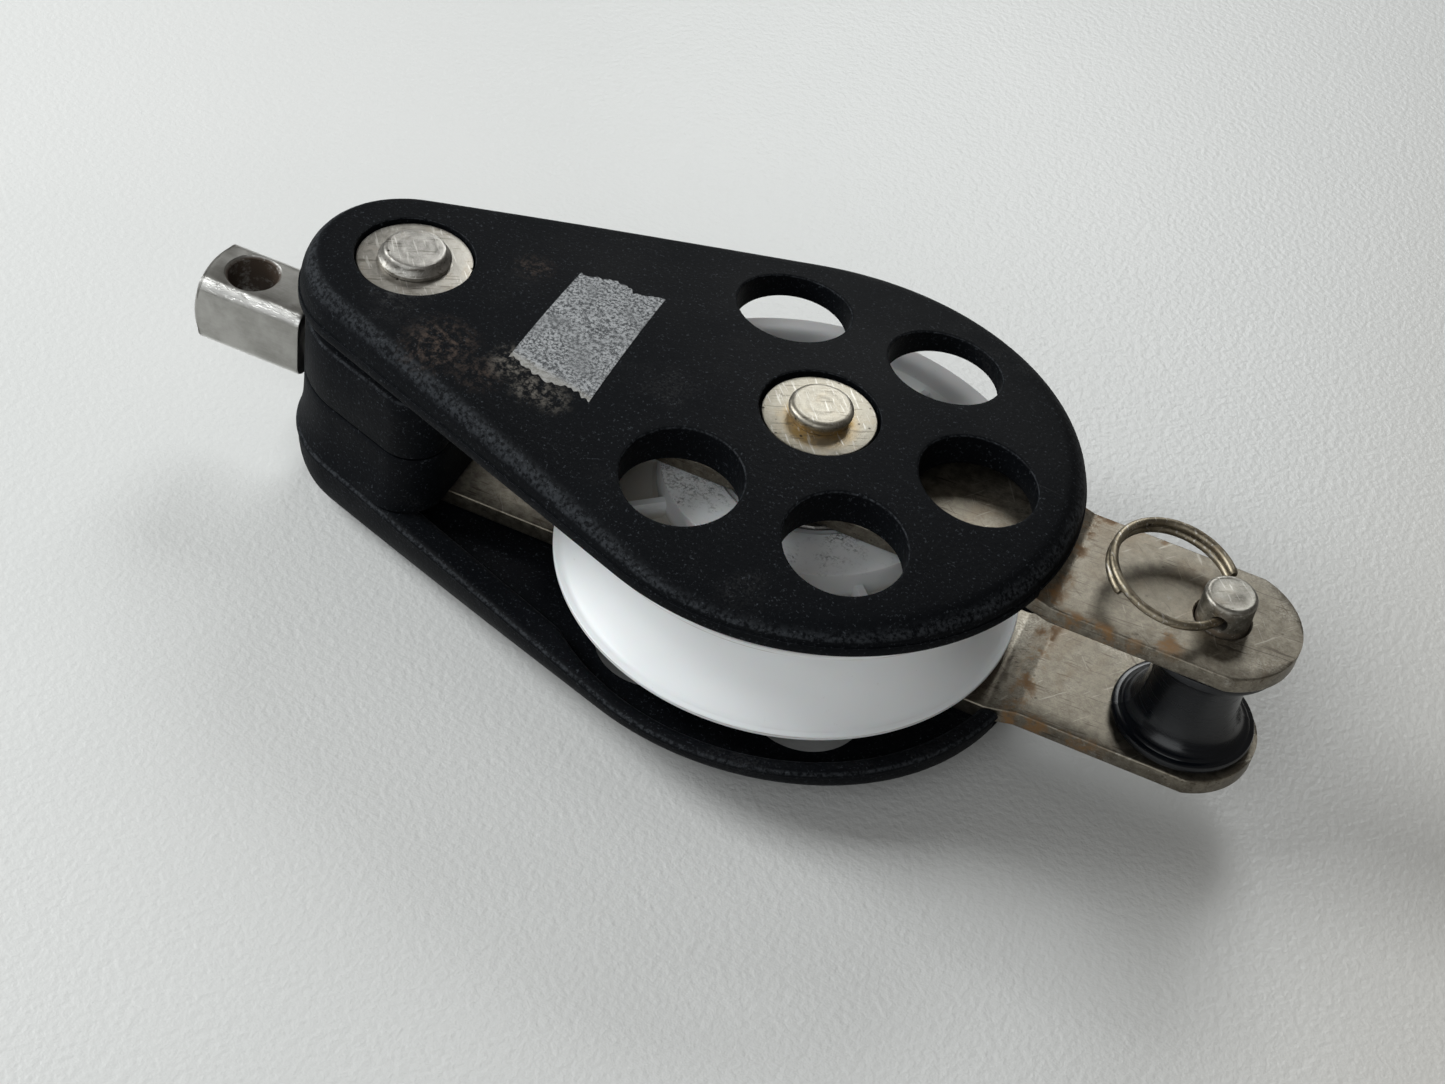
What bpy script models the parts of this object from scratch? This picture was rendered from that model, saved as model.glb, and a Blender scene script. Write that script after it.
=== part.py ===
"""Becket block lying on its side: one grooved sheave between two crowned moulded cheeks.

Two stainless straps run from the head pin past the main axle to the becket pin.
The origin is on the axle's axis, on the face that the block rests on. +X runs from
the head to the becket, +Z up through the block's thickness.
"""

import math

import bmesh
import bpy
from mathutils import Matrix, Vector

MM = 0.001

# Driving dimensions. Heights are measured from the block's middle plane.
HALF_THICKNESS = 24.4 * MM  # middle plane to the rest face of a rivet
HEAD_X = -69.0 * MM  # axle axis to head pin axis
BECKET_X = 66.7 * MM  # axle axis to becket pin axis
GAP = 0.3 * MM  # room left between neighbouring pieces

SHEAVE_RADIUS = 37.8 * MM
SHEAVE_RIM_HALF = 9.5 * MM
HUB_DISC_RADIUS = 23.2 * MM
HUB_DISC_HALF = 11.2 * MM

CHEEK_RADIUS = 42.6 * MM
CHEEK_HEAD_RADIUS = 18.0 * MM
CHEEK_CROWN = 22.9 * MM  # highest point of the outer face
ROUND_OVER = 4.0 * MM  # width of the rounding between edge and crown
# The upper cheek stands off the head block by the strap. The lower one sits on the
# block and holds the strap in a pocket, so its rim reaches closer to the sheave.
UPPER_INNER = 16.2 * MM  # flat inner face
UPPER_LIP = 14.4 * MM  # inner end of the rim skirt
UPPER_BAND = 16.9 * MM  # where the straight edge ends and the rounding starts
UPPER_SKIRT = 4.0 * MM  # width of the rim skirt
LOWER_INNER = 15.0 * MM
LOWER_LIP = 11.4 * MM
LOWER_BAND = 12.6 * MM
POCKET_INSET = 5.8 * MM  # pocket's wall in from the lower cheek's flank
POCKET_RADIUS = 39.3 * MM  # pocket round the sheave
CROWN_ACROSS = {1: 2.6, -1: 4.0}  # fall of each crown per metre squared, across
CROWN_ALONG = 1.42  # the same, towards the becket
CROWN_START_X = -4.8 * MM
WINDOW_RADIUS = 9.25 * MM
WINDOW_CIRCLE = 26.0 * MM
WINDOW_ANGLES = (0, 60, 120, -60, -120)

STRAP_HALF_WIDTH = 11.65 * MM
STRAP_THICK = 3.0 * MM
STRAP_INNER = 11.7 * MM  # strap's inner face beside the sheave
STRAP_STEP = 1.45 * MM  # how far it is joggled in at the becket
STEP_START_X = 38.5 * MM
STEP_END_X = 43.0 * MM
STRAP_END_RADIUS = 12.3 * MM
STRAP_HEAD_RADIUS = 11.9 * MM

BLOCK_END_X = -85.3 * MM
BLOCK_THROAT_X = -54.6 * MM
BLOCK_RADIUS = 39.6 * MM  # outline at the middle plane, about the axle
BLOCK_HEAD_RADIUS = 16.8 * MM  # the same, about the head pin
BLOCK_CORNER = 6.0 * MM
BLOCK_FLARE = (2.7 * MM, 0.9 * MM, 1.0 * MM)  # growth of those three at the foot

AXLE_SHANK = 4.0 * MM
AXLE_HEAD = 5.0 * MM
HEAD_PIN_HEAD = 5.8 * MM
WASHER_RADIUS = 8.9 * MM
HEAD_WASHER_RADIUS = 9.2 * MM
WASHER_THICK = 1.2 * MM
WASHER_TOP = 22.0 * MM
SEAT_MARGIN = 0.5 * MM

SLEEVE_RADIUS = 6.4 * MM
ROLLER_RADIUS = 2.45 * MM
ROLLER_CIRCLE = 9.0 * MM
ROLLER_COUNT = 10
BORE_RADIUS = 11.65 * MM
RETAINER_RADIUS = 14.0 * MM
ROLLER_HALF = 9.0 * MM

POST_HALF = 6.5 * MM
POST_CHAMFER = 1.55 * MM
POST_END_X = -106.3 * MM
POST_DOME = 17.0 * MM
POST_EYE_X = -97.9 * MM
POST_EYE_RADIUS = 4.7 * MM
NECK_RADIUS = 4.5 * MM
BUTTON_RADIUS = 6.4 * MM
BUTTON_X = (-81.0 * MM, -77.4 * MM)

BECKET_PIN_RADIUS = 4.1 * MM
BECKET_PIN_TOP = 18.5 * MM
BECKET_PIN_HEAD = 6.2 * MM
RING_HOLE_Z = 15.5 * MM
RING_HOLE_RADIUS = 1.3 * MM
SPOOL_FLANGE = 11.3 * MM
SPOOL_WAIST = 7.2 * MM

RING_RADIUS = 9.6 * MM
RING_WIRE = 0.65 * MM
RING_PITCH = 1.45 * MM
RING_PAST = 0.38 * MM  # how far the wire passes beyond the pin's axis
RING_TURN = math.radians(176)  # way from the pin to the ring's centre
RING_TILT = math.radians(9)  # how far that way rises
RING_SPAN = (-235, 325)  # angles of the wire's two ends, 0 in the pin's hole


def clear_scene():
    for obj in list(bpy.data.objects):
        bpy.data.objects.remove(obj, do_unlink=True)


clear_scene()
parts = bpy.data.collections.new("becket_block")
cutters = bpy.data.collections.new("cutters")
for group in (parts, cutters):
    bpy.context.scene.collection.children.link(group)


def material(name, color, rough, metal):
    """A Principled material: colour, roughness and metallic value."""
    mat = bpy.data.materials.new(name)
    mat.use_nodes = True
    shader = mat.node_tree.nodes["Principled BSDF"]
    shader.inputs["Base Color"].default_value = (*color, 1)
    shader.inputs["Roughness"].default_value = rough
    shader.inputs["Metallic"].default_value = metal
    return mat


def black_moulding(name):
    return material(name, (0.018, 0.019, 0.021), 0.55, 0.0)


def stainless(name):
    return material(name, (0.46, 0.43, 0.38), 0.38, 1.0)


def white_acetal(name):
    return material(name, (0.78, 0.79, 0.80), 0.45, 0.0)


def finish(obj, mat):
    """Put a part into the collection, give it its finish and shade its round faces smooth."""
    parts.objects.link(obj)
    obj.data.materials.append(mat)
    obj.data.shade_smooth()
    obj.data.set_sharp_from_angle(angle=math.radians(35))
    return obj


def mesh_object(name, bm):
    """A new object from a bmesh, with its faces turned outwards."""
    bmesh.ops.recalc_face_normals(bm, faces=bm.faces)
    mesh = bpy.data.meshes.new(name)
    bm.to_mesh(mesh)
    bm.free()
    return bpy.data.objects.new(name, mesh)


def turned(name, profile, steps, place=(0, 0, 0)):
    """A turned solid. The profile's (radius, height) points run down the outer side.

    A profile that starts and ends on the axis makes a solid; any other is closed into a ring.
    """
    mesh = bpy.data.meshes.new(name)
    last = len(profile) - 1
    edges = [(i, i + 1) for i in range(last)]
    if profile[0][0] > 0:
        edges.append((last, 0))
    mesh.from_pydata([(r, 0, z) for r, z in profile], edges, [])
    obj = bpy.data.objects.new(name, mesh)
    obj.location = place
    screw = obj.modifiers.new("turn", "SCREW")
    screw.axis = "Z"
    screw.steps = steps
    screw.render_steps = steps
    screw.use_merge_vertices = True
    screw.merge_threshold = 1e-6
    return obj


def cylinder(name, radius, low, high, x=0.0, y=0.0, steps=24, axis="Z"):
    """A plain cylinder from low to high along an axis through (x, y)."""
    bm = bmesh.new()
    depth = high - low
    bmesh.ops.create_cone(
        bm, cap_ends=True, segments=steps, radius1=radius, radius2=radius, depth=depth
    )
    bmesh.ops.translate(bm, verts=bm.verts, vec=(0, 0, (low + high) / 2))
    turn = {"Z": Matrix(), "X": Matrix.Rotation(math.pi / 2, 4, "Y")}[axis]
    bmesh.ops.transform(bm, verts=bm.verts, matrix=turn)
    obj = mesh_object(name, bm)
    obj.location = (x, y, HALF_THICKNESS)
    return obj


def box(name, low, high):
    """A box between two corners, measured from the middle plane."""
    bm = bmesh.new()
    bmesh.ops.create_cube(bm, size=1)
    size = [b - a for a, b in zip(low, high)]
    middle = [(a + b) / 2 for a, b in zip(low, high)]
    bmesh.ops.scale(bm, verts=bm.verts, vec=size)
    bmesh.ops.translate(bm, verts=bm.verts, vec=middle)
    obj = mesh_object(name, bm)
    obj.location = (0, 0, HALF_THICKNESS)
    return obj


def boolean(obj, operation, tool):
    """Cut, join or intersect a part with a tool body, which stays out of renders."""
    if tool.name not in cutters.objects:
        cutters.objects.link(tool)
        tool.hide_render = True
        tool.display_type = "WIRE"
    change = obj.modifiers.new(tool.name, "BOOLEAN")
    change.operation = operation
    change.object = tool
    change.solver = "EXACT"


def teardrop(big, small, big_steps=28, small_steps=10, bulge=None):
    """Outline round two circles, one on the axle and one on the head pin, with straight sides.

    A bulge is a wider circle on the axle, which the straight sides run into.
    """
    lean = math.asin((big - small) / abs(HEAD_X))
    points = []
    reach = math.pi / 2 + lean
    round_big = bulge or big
    wide = reach + math.acos(big / round_big)
    for i in range(big_steps + 1):
        a = -wide + 2 * wide * i / big_steps
        points.append((round_big * math.cos(a), round_big * math.sin(a)))
    for i in range(small_steps + 1):
        a = reach + 2 * (math.pi - reach) * i / small_steps
        points.append((HEAD_X + small * math.cos(a), small * math.sin(a)))
    return points


def crown(x, y, side):
    """Height of the cheek's crowned face above the middle plane."""
    along = max(x - CROWN_START_X, 0)
    return CHEEK_CROWN - CROWN_ACROSS[side] * y * y - CROWN_ALONG * along * along


def loft(name, rings):
    """A solid through rings of points with the same count, closed by flat caps."""
    bm = bmesh.new()
    rows = [[bm.verts.new(p) for p in ring] for ring in rings]
    for row in (rows[0], rows[-1]):
        bm.faces.new(row)
    for low, high in zip(rows, rows[1:]):
        for a, b, c, d in zip(low, low[1:] + low[:1], high[1:] + high[:1], high):
            bm.faces.new((a, b, c, d))
    bmesh.ops.triangulate(bm, faces=[f for f in bm.faces if len(f.verts) > 4])
    return mesh_object(name, bm)


def cheek(name, side):
    """One moulded cheek: crowned plate, rim skirt, five windows and rivet seats."""
    rings = []
    band = UPPER_BAND if side > 0 else LOWER_BAND

    def flat_ring(inset, z):
        outline = teardrop(CHEEK_RADIUS - inset, CHEEK_HEAD_RADIUS - inset)
        rings.append([(x, y, z) for x, y in outline])

    if side > 0:
        flat_ring(UPPER_SKIRT, UPPER_INNER)
        flat_ring(UPPER_SKIRT, UPPER_LIP)
        flat_ring(0.6 * MM, UPPER_LIP)
        flat_ring(0, UPPER_LIP + 0.7 * MM)
    else:
        flat_ring(1.5 * MM, LOWER_LIP)
        flat_ring(0.5 * MM, LOWER_LIP + 0.4 * MM)
    flat_ring(0, band)
    for inset in (0.3 * MM, 1.0 * MM, 2.2 * MM, ROUND_OVER):
        rise = math.sqrt(1 - (1 - inset / ROUND_OVER) ** 2)
        outline = teardrop(CHEEK_RADIUS - inset, CHEEK_HEAD_RADIUS - inset)
        rings.append(
            [(x, y, band + rise * (crown(x, y, side) - band)) for x, y in outline]
        )
    for big, small in ((30, 12), (18, 7), (5, 3)):
        outline = teardrop(big * MM, small * MM)
        rings.append([(x, y, crown(x, y, side)) for x, y in outline])
    obj = loft(name, rings)
    if side < 0:
        obj.data.transform(Matrix.Scale(-1, 4, Vector((0, 0, 1))))
        obj.data.flip_normals()
    obj.location = (0, 0, HALF_THICKNESS)

    def cut(what, radius, near, far, x, y=0.0, steps=24):
        low, high = sorted((side * near, side * far))
        return cylinder(f"{name}_{what}", radius, low, high, x, y, steps)

    if side < 0:
        outline = teardrop(
            CHEEK_RADIUS - POCKET_INSET,
            CHEEK_HEAD_RADIUS - POCKET_INSET,
            bulge=POCKET_RADIUS,
        )
        depths = (-LOWER_INNER, -LOWER_LIP + MM)
        rings = [[(x, y, z) for x, y in outline] for z in depths]
        pocket = loft(f"{name}_pocket", rings)
        pocket.location = (0, 0, HALF_THICKNESS)
        boolean(obj, "DIFFERENCE", pocket)
    for x, label in ((0.0, "axle"), (HEAD_X, "head")):
        if side > 0:
            under = STRAP_INNER + STRAP_THICK + GAP
            boss = cut(f"{label}_boss", 9.0 * MM, under, 18 * MM, x)
            boolean(obj, "UNION", boss)
        washer = WASHER_RADIUS if x == 0 else HEAD_WASHER_RADIUS
        seat_floor = WASHER_TOP - WASHER_THICK - GAP
        seat = cut(f"{label}_seat", washer + SEAT_MARGIN, seat_floor, 26 * MM, x, 0, 32)
        boolean(obj, "DIFFERENCE", seat)
        hole = cut(f"{label}_hole", AXLE_SHANK + GAP, 12 * MM, 26 * MM, x)
        boolean(obj, "DIFFERENCE", hole)
    for angle in WINDOW_ANGLES:
        x = WINDOW_CIRCLE * math.cos(math.radians(angle))
        y = WINDOW_CIRCLE * math.sin(math.radians(angle))
        window = cut(f"window_{angle % 360}", WINDOW_RADIUS, 12 * MM, 26 * MM, x, y)
        boolean(obj, "DIFFERENCE", window)
    inner = UPPER_INNER if side > 0 else LOWER_INNER
    low, high = sorted((side * 10 * MM, side * inner))
    half = STRAP_HALF_WIDTH + 0.5 * MM
    notch = box(f"{name}_strap_exit", (34 * MM, -half, low), (46 * MM, half, high))
    boolean(obj, "DIFFERENCE", notch)
    return finish(obj, black_moulding(name))


upper_cheek = cheek("upper_cheek", 1)
lower_cheek = cheek("lower_cheek", -1)


def strap(name, side):
    """One flat bar strap: rounded ends, three holes, and a small inward joggle."""
    points = []
    half = STRAP_HALF_WIDTH
    reach = math.asin(half / STRAP_END_RADIUS)
    for i in range(13):
        a = -reach + 2 * reach * i / 12
        points.append(
            (BECKET_X + STRAP_END_RADIUS * math.cos(a), STRAP_END_RADIUS * math.sin(a))
        )
    reach = math.asin(half / STRAP_HEAD_RADIUS)
    for i in range(13):
        a = math.pi - reach + 2 * reach * i / 12
        points.append(
            (HEAD_X + STRAP_HEAD_RADIUS * math.cos(a), STRAP_HEAD_RADIUS * math.sin(a))
        )
    bm = bmesh.new()
    face = bm.faces.new([bm.verts.new((x, y, STRAP_INNER)) for x, y in points])
    grown = bmesh.ops.extrude_face_region(bm, geom=[face])
    raised = [v for v in grown["geom"] if isinstance(v, bmesh.types.BMVert)]
    bmesh.ops.translate(bm, verts=raised, vec=(0, 0, STRAP_THICK))
    for x in (STEP_START_X, STEP_END_X):
        everything = bm.verts[:] + bm.edges[:] + bm.faces[:]
        bmesh.ops.bisect_plane(bm, geom=everything, plane_co=(x, 0, 0), plane_no=(1, 0, 0))
    for v in bm.verts:
        run = (v.co.x - STEP_START_X) / (STEP_END_X - STEP_START_X)
        v.co.z -= STRAP_STEP * min(max(run, 0), 1)
        v.co.z *= side
    obj = mesh_object(name, bm)
    obj.location = (0, 0, HALF_THICKNESS)
    holes = ((0.0, AXLE_SHANK), (HEAD_X, AXLE_SHANK), (BECKET_X, BECKET_PIN_RADIUS))
    for i, (x, shank) in enumerate(holes):
        low, high = sorted((side * 8 * MM, side * 18 * MM))
        hole = cylinder(f"{name}_hole_{i}", shank + GAP, low, high, x)
        boolean(obj, "DIFFERENCE", hole)
    return finish(obj, stainless(name))


upper_strap = strap("upper_strap", 1)
lower_strap = strap("lower_strap", -1)


def block_outline(flare):
    """Outline of the head block: two straight flanks, cut off towards the sheave.

    Its two throat corners are rounded, and its outer end is flat for the post's shoulder.
    A flare of 1 is the foot of the lower half, which meets the lower cheek's edge.
    """
    sizes = (BLOCK_RADIUS, BLOCK_HEAD_RADIUS, BLOCK_CORNER)
    big, small, corner = [s + flare * grow for s, grow in zip(sizes, BLOCK_FLARE)]
    lean = math.asin((big - small) / abs(HEAD_X))
    centre_x = BLOCK_THROAT_X - corner
    centre_y = (big - corner + math.sin(lean) * centre_x) / math.cos(lean)
    half = []
    for i in range(7):
        a = (math.pi / 2 + lean) * i / 6
        half.append((centre_x + corner * math.cos(a), centre_y + corner * math.sin(a)))
    for i in range(10):
        a = math.pi / 2 + lean + (math.pi / 2 - lean) * i / 10
        x = max(HEAD_X + small * math.cos(a), BLOCK_END_X)
        half.append((x, small * math.sin(a)))
    return half + [(x, -y) for x, y in reversed(half)]


def head_block(name, side):
    """One half of the head block. The lower half flares out onto the lower cheek."""
    if side > 0:
        top = STRAP_INNER - GAP
        steps = ((GAP / 2, 0), (top - 0.5 * MM, 0), (top, -0.2))
    else:
        top = LOWER_LIP - GAP
        shares = (0.2, 0.45, 0.65, 0.82, 0.93, 1.0)
        steps = [(GAP / 2, 0)] + [(top * s, s**4) for s in shares]
    rings = [[(x, y, side * z) for x, y in block_outline(flare)] for z, flare in steps]
    obj = loft(name, rings)
    obj.location = (0, 0, HALF_THICKNESS)
    low, high = sorted((-side * 2 * MM, side * 16 * MM))
    boolean(
        obj, "DIFFERENCE", cylinder(f"{name}_pin", AXLE_SHANK + GAP, low, high, HEAD_X)
    )
    bore = cylinder(
        f"{name}_neck_bore", NECK_RADIUS + GAP, -90 * MM, BUTTON_X[0] + GAP, axis="X"
    )
    pocket = cylinder(
        f"{name}_button_pocket",
        BUTTON_RADIUS + GAP,
        BUTTON_X[0] - GAP,
        BUTTON_X[1] + GAP,
        axis="X",
    )
    for tool in (bore, pocket):
        boolean(obj, "DIFFERENCE", tool)
    return finish(obj, black_moulding(name))


head_block_upper = head_block("head_block_upper", 1)
head_block_lower = head_block("head_block_lower", -1)


def rivet(name, x, head_radius, stepped):
    """A pin through the whole block with a head upset over a washer at each end."""
    under = WASHER_TOP + GAP / 3
    top = HALF_THICKNESS
    if stepped:
        half = [
            (0, top),
            (head_radius - 1.6 * MM, top),
            (head_radius - 0.9 * MM, top - 0.3 * MM),
            (head_radius - 0.8 * MM, top - 1.1 * MM),
            (head_radius, top - 1.5 * MM),
            (head_radius, under),
            (AXLE_SHANK, under),
        ]
    else:
        half = [
            (0, top),
            (head_radius - 0.9 * MM, top),
            (head_radius - 0.2 * MM, top - 0.35 * MM),
            (head_radius, top - 0.9 * MM),
            (head_radius - 0.3 * MM, top - 1.5 * MM),
            (head_radius - 0.4 * MM, under),
            (AXLE_SHANK, under),
        ]
    profile = half + [(r, -z) for r, z in reversed(half)]
    obj = turned(name, profile, 24, (x, 0, HALF_THICKNESS))
    return finish(obj, stainless(name))


main_axle = rivet("main_axle", 0.0, AXLE_HEAD, False)
head_pin = rivet("head_pin", HEAD_X, HEAD_PIN_HEAD, True)


def flat_ring(name, inner, outer, low, high, mat, x=0.0, steps=28, ease=0.2 * MM):
    """A washer, plain ring or sleeve with eased outer edges."""
    profile = [
        (outer - ease, high),
        (outer, high - ease),
        (outer, low + ease),
        (outer - ease, low),
        (inner, low),
        (inner, high),
    ]
    return finish(turned(name, profile, steps, (x, 0, HALF_THICKNESS)), mat(name))


for x, radius, label in (
    (0.0, WASHER_RADIUS, "axle_washer"),
    (HEAD_X, HEAD_WASHER_RADIUS, "head_washer"),
):
    for side, where in ((1, "upper"), (-1, "lower")):
        low, high = sorted((side * (WASHER_TOP - WASHER_THICK), side * WASHER_TOP))
        flat_ring(f"{label}_{where}", AXLE_SHANK + GAP, radius, low, high, stainless, x, 32)


# Sheave and its bearing: rollers run between the sleeve and the sheave's bore.
def sheave_half():
    """Upper half of the sheave's section, from the groove's middle to the bore."""
    rim = SHEAVE_RIM_HALF
    outer = SHEAVE_RADIUS
    return [
        (outer - 5.0 * MM, 0.0),
        (outer - 4.4 * MM, 3.0 * MM),
        (outer - 2.4 * MM, 6.4 * MM),
        (outer - 0.1 * MM, rim - 1.0 * MM),
        (outer, rim - 0.4 * MM),
        (outer - 0.4 * MM, rim),
        (outer - 6.0 * MM, rim),
        (outer - 6.6 * MM, rim - 3.5 * MM),
        (HUB_DISC_RADIUS - 0.6 * MM, rim - 3.5 * MM),
        (HUB_DISC_RADIUS, HUB_DISC_HALF - 0.6 * MM),
        (HUB_DISC_RADIUS - 0.3 * MM, HUB_DISC_HALF),
        (RETAINER_RADIUS + GAP, HUB_DISC_HALF),
        (RETAINER_RADIUS + GAP, ROLLER_HALF + GAP),
        (BORE_RADIUS, ROLLER_HALF + GAP),
    ]


half_section = sheave_half()
# Down the outer side from the upper flange, then up through the bore.
upper = half_section[::-1]
lower = [(r, -z) for r, z in half_section[1:]]
section = upper[:-1] + [half_section[0]] + lower
sheave = finish(
    turned("sheave", section, 48, (0, 0, HALF_THICKNESS)), white_acetal("sheave")
)

bearing_sleeve = flat_ring(
    "bearing_sleeve",
    AXLE_SHANK + GAP,
    SLEEVE_RADIUS,
    -STRAP_INNER + GAP / 2,
    STRAP_INNER - GAP / 2,
    stainless,
)
for side, where in ((1, "upper"), (-1, "lower")):
    low, high = sorted((side * (ROLLER_HALF + 0.5 * MM), side * 10.3 * MM))
    flat_ring(
        f"bearing_retainer_{where}",
        SLEEVE_RADIUS + GAP,
        RETAINER_RADIUS,
        low,
        high,
        white_acetal,
    )
    low, high = sorted((side * 10.6 * MM, side * 11.4 * MM))
    flat_ring(
        f"thrust_washer_{where}",
        SLEEVE_RADIUS + GAP,
        RETAINER_RADIUS - 0.5 * MM,
        low,
        high,
        stainless,
    )
for i in range(ROLLER_COUNT):
    a = 2 * math.pi * (i + 0.5) / ROLLER_COUNT
    roller = cylinder(
        f"bearing_roller_{i + 1:02d}",
        ROLLER_RADIUS,
        -ROLLER_HALF,
        ROLLER_HALF,
        ROLLER_CIRCLE * math.cos(a),
        ROLLER_CIRCLE * math.sin(a),
        steps=14,
    )
    finish(roller, material(roller.name, (0.30, 0.24, 0.12), 0.4, 0.0))


def swivel_post():
    """Square bar with chamfered edges, a domed end and a cross eye, on a turned shank."""
    bm = bmesh.new()
    bmesh.ops.create_cube(bm, size=1)
    shoulder = BLOCK_END_X - 2 * GAP
    length = shoulder - POST_END_X
    bmesh.ops.scale(bm, verts=bm.verts, vec=(length, 2 * POST_HALF, 2 * POST_HALF))
    bmesh.ops.translate(bm, verts=bm.verts, vec=((shoulder + POST_END_X) / 2, 0, 0))
    long_edges = [e for e in bm.edges if abs(e.verts[0].co.x - e.verts[1].co.x) > MM]
    bmesh.ops.bevel(
        bm, geom=long_edges, offset=POST_CHAMFER, segments=1, affect="EDGES", profile=0.5
    )
    obj = mesh_object("swivel_post", bm)
    obj.location = (0, 0, HALF_THICKNESS)
    reach = POST_HALF * 1.45
    blank_profile = []
    for i in range(8):
        r = reach * i / 7
        rise = POST_DOME - math.sqrt(POST_DOME**2 - r * r)
        blank_profile.append((r, -POST_END_X - rise))
    blank_profile += [(reach, -BLOCK_END_X), (0, -BLOCK_END_X)]
    blank = turned("post_dome", blank_profile, 32, (0, 0, HALF_THICKNESS))
    blank.rotation_euler = (0, -math.pi / 2, 0)
    boolean(obj, "INTERSECT", blank)
    shank_profile = [
        (0, 86.8 * MM),
        (NECK_RADIUS, 86.8 * MM),
        (NECK_RADIUS, -BUTTON_X[0]),
        (BUTTON_RADIUS - 0.3 * MM, -BUTTON_X[0]),
        (BUTTON_RADIUS, -BUTTON_X[0] - 0.3 * MM),
        (BUTTON_RADIUS, -BUTTON_X[1] + 0.3 * MM),
        (BUTTON_RADIUS - 0.3 * MM, -BUTTON_X[1]),
        (0, -BUTTON_X[1]),
    ]
    shank = turned("post_shank", shank_profile, 28, (0, 0, HALF_THICKNESS))
    shank.rotation_euler = (0, -math.pi / 2, 0)
    boolean(obj, "UNION", shank)
    eye = cylinder("post_eye", POST_EYE_RADIUS, -9 * MM, 9 * MM, POST_EYE_X, steps=28)
    boolean(obj, "DIFFERENCE", eye)
    return finish(obj, stainless("swivel_post"))


swivel_post()

strap_outer = STRAP_INNER - STRAP_STEP + STRAP_THICK
strap_becket_inner = STRAP_INNER - STRAP_STEP

becket_pin = turned(
    "becket_pin",
    [
        (0, BECKET_PIN_TOP),
        (BECKET_PIN_RADIUS - 0.7 * MM, BECKET_PIN_TOP),
        (BECKET_PIN_RADIUS, BECKET_PIN_TOP - 0.7 * MM),
        (BECKET_PIN_RADIUS, -strap_outer - GAP / 2),
        (BECKET_PIN_HEAD, -strap_outer - GAP / 2),
        (BECKET_PIN_HEAD, -strap_outer - 1.9 * MM),
        (BECKET_PIN_HEAD - 0.5 * MM, -strap_outer - 2.4 * MM),
        (0, -strap_outer - 2.4 * MM),
    ],
    28,
    (BECKET_X, 0, HALF_THICKNESS),
)
cross_hole = cylinder("ring_hole", RING_HOLE_RADIUS, -8 * MM, 8 * MM, steps=16)
cross_hole.location = (BECKET_X, 0, HALF_THICKNESS + RING_HOLE_Z)
cross_hole.rotation_euler = (math.pi / 2, 0, RING_TURN - math.pi)
boolean(becket_pin, "DIFFERENCE", cross_hole)
finish(becket_pin, stainless("becket_pin"))


def spool_profile():
    """Hourglass section with a stepped flange at each end and a plain bore."""
    top = strap_becket_inner - GAP
    half = [
        (SPOOL_FLANGE - 0.8 * MM, top),
        (SPOOL_FLANGE, top - 0.6 * MM),
        (SPOOL_FLANGE, top - 1.4 * MM),
        (SPOOL_FLANGE - 1.1 * MM, top - 2.0 * MM),
    ]
    for i in range(1, 5):
        a = math.pi / 2 * i / 4
        reach = SPOOL_FLANGE - 1.1 * MM - SPOOL_WAIST
        half.append(
            (
                SPOOL_WAIST + reach * (1 - math.sin(a)),
                (top - 2.0 * MM) * math.cos(a),
            )
        )
    bore = BECKET_PIN_RADIUS + GAP
    outer = half[:-1] + [(SPOOL_WAIST, 0.0)] + [(r, -z) for r, z in reversed(half[:-1])]
    return outer + [(bore, -top), (bore, top)]


becket_spool = finish(
    turned("becket_spool", spool_profile(), 28, (BECKET_X, 0, HALF_THICKNESS)),
    material("becket_spool", (0.010, 0.011, 0.014), 0.22, 0.0),
)


def split_ring():
    """Spring wire wound a little over one and a half turns and threaded through the pin."""
    outward = Vector(
        (
            math.cos(RING_TILT) * math.cos(RING_TURN),
            math.cos(RING_TILT) * math.sin(RING_TURN),
            math.sin(RING_TILT),
        )
    )
    along_hole = Vector((-math.sin(RING_TURN), math.cos(RING_TURN), 0))
    normal = outward.cross(along_hole)
    hole = Vector((BECKET_X, 0, HALF_THICKNESS + RING_HOLE_Z))
    centre = hole + (RING_RADIUS - RING_PAST) * outward
    steps = 48
    curve = bpy.data.curves.new("split_ring", "CURVE")
    curve.dimensions = "3D"
    curve.bevel_depth = RING_WIRE
    curve.bevel_resolution = 2
    curve.use_fill_caps = True
    spline = curve.splines.new("POLY")
    spline.points.add(steps)
    for i in range(steps + 1):
        turn = RING_SPAN[0] + (RING_SPAN[1] - RING_SPAN[0]) * i / steps
        a = math.radians(turn)
        spot = centre + RING_RADIUS * (
            -math.cos(a) * outward + math.sin(a) * along_hole
        )
        spot += normal * RING_PITCH * turn / 360
        spline.points[i].co = (*spot, 1)
    coil = bpy.data.objects.new("ring_curve", curve)
    bpy.context.scene.collection.objects.link(coil)
    graph = bpy.context.evaluated_depsgraph_get()
    mesh = bpy.data.meshes.new_from_object(coil.evaluated_get(graph))
    bpy.data.objects.remove(coil)
    bm = bmesh.new()
    bm.from_mesh(mesh)
    bmesh.ops.remove_doubles(bm, verts=bm.verts, dist=1e-6)
    return finish(mesh_object("split_ring", bm), stainless("split_ring"))


split_ring()
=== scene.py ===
import math

import bmesh
import bpy
import numpy as np
from mathutils import Matrix, Vector


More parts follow.
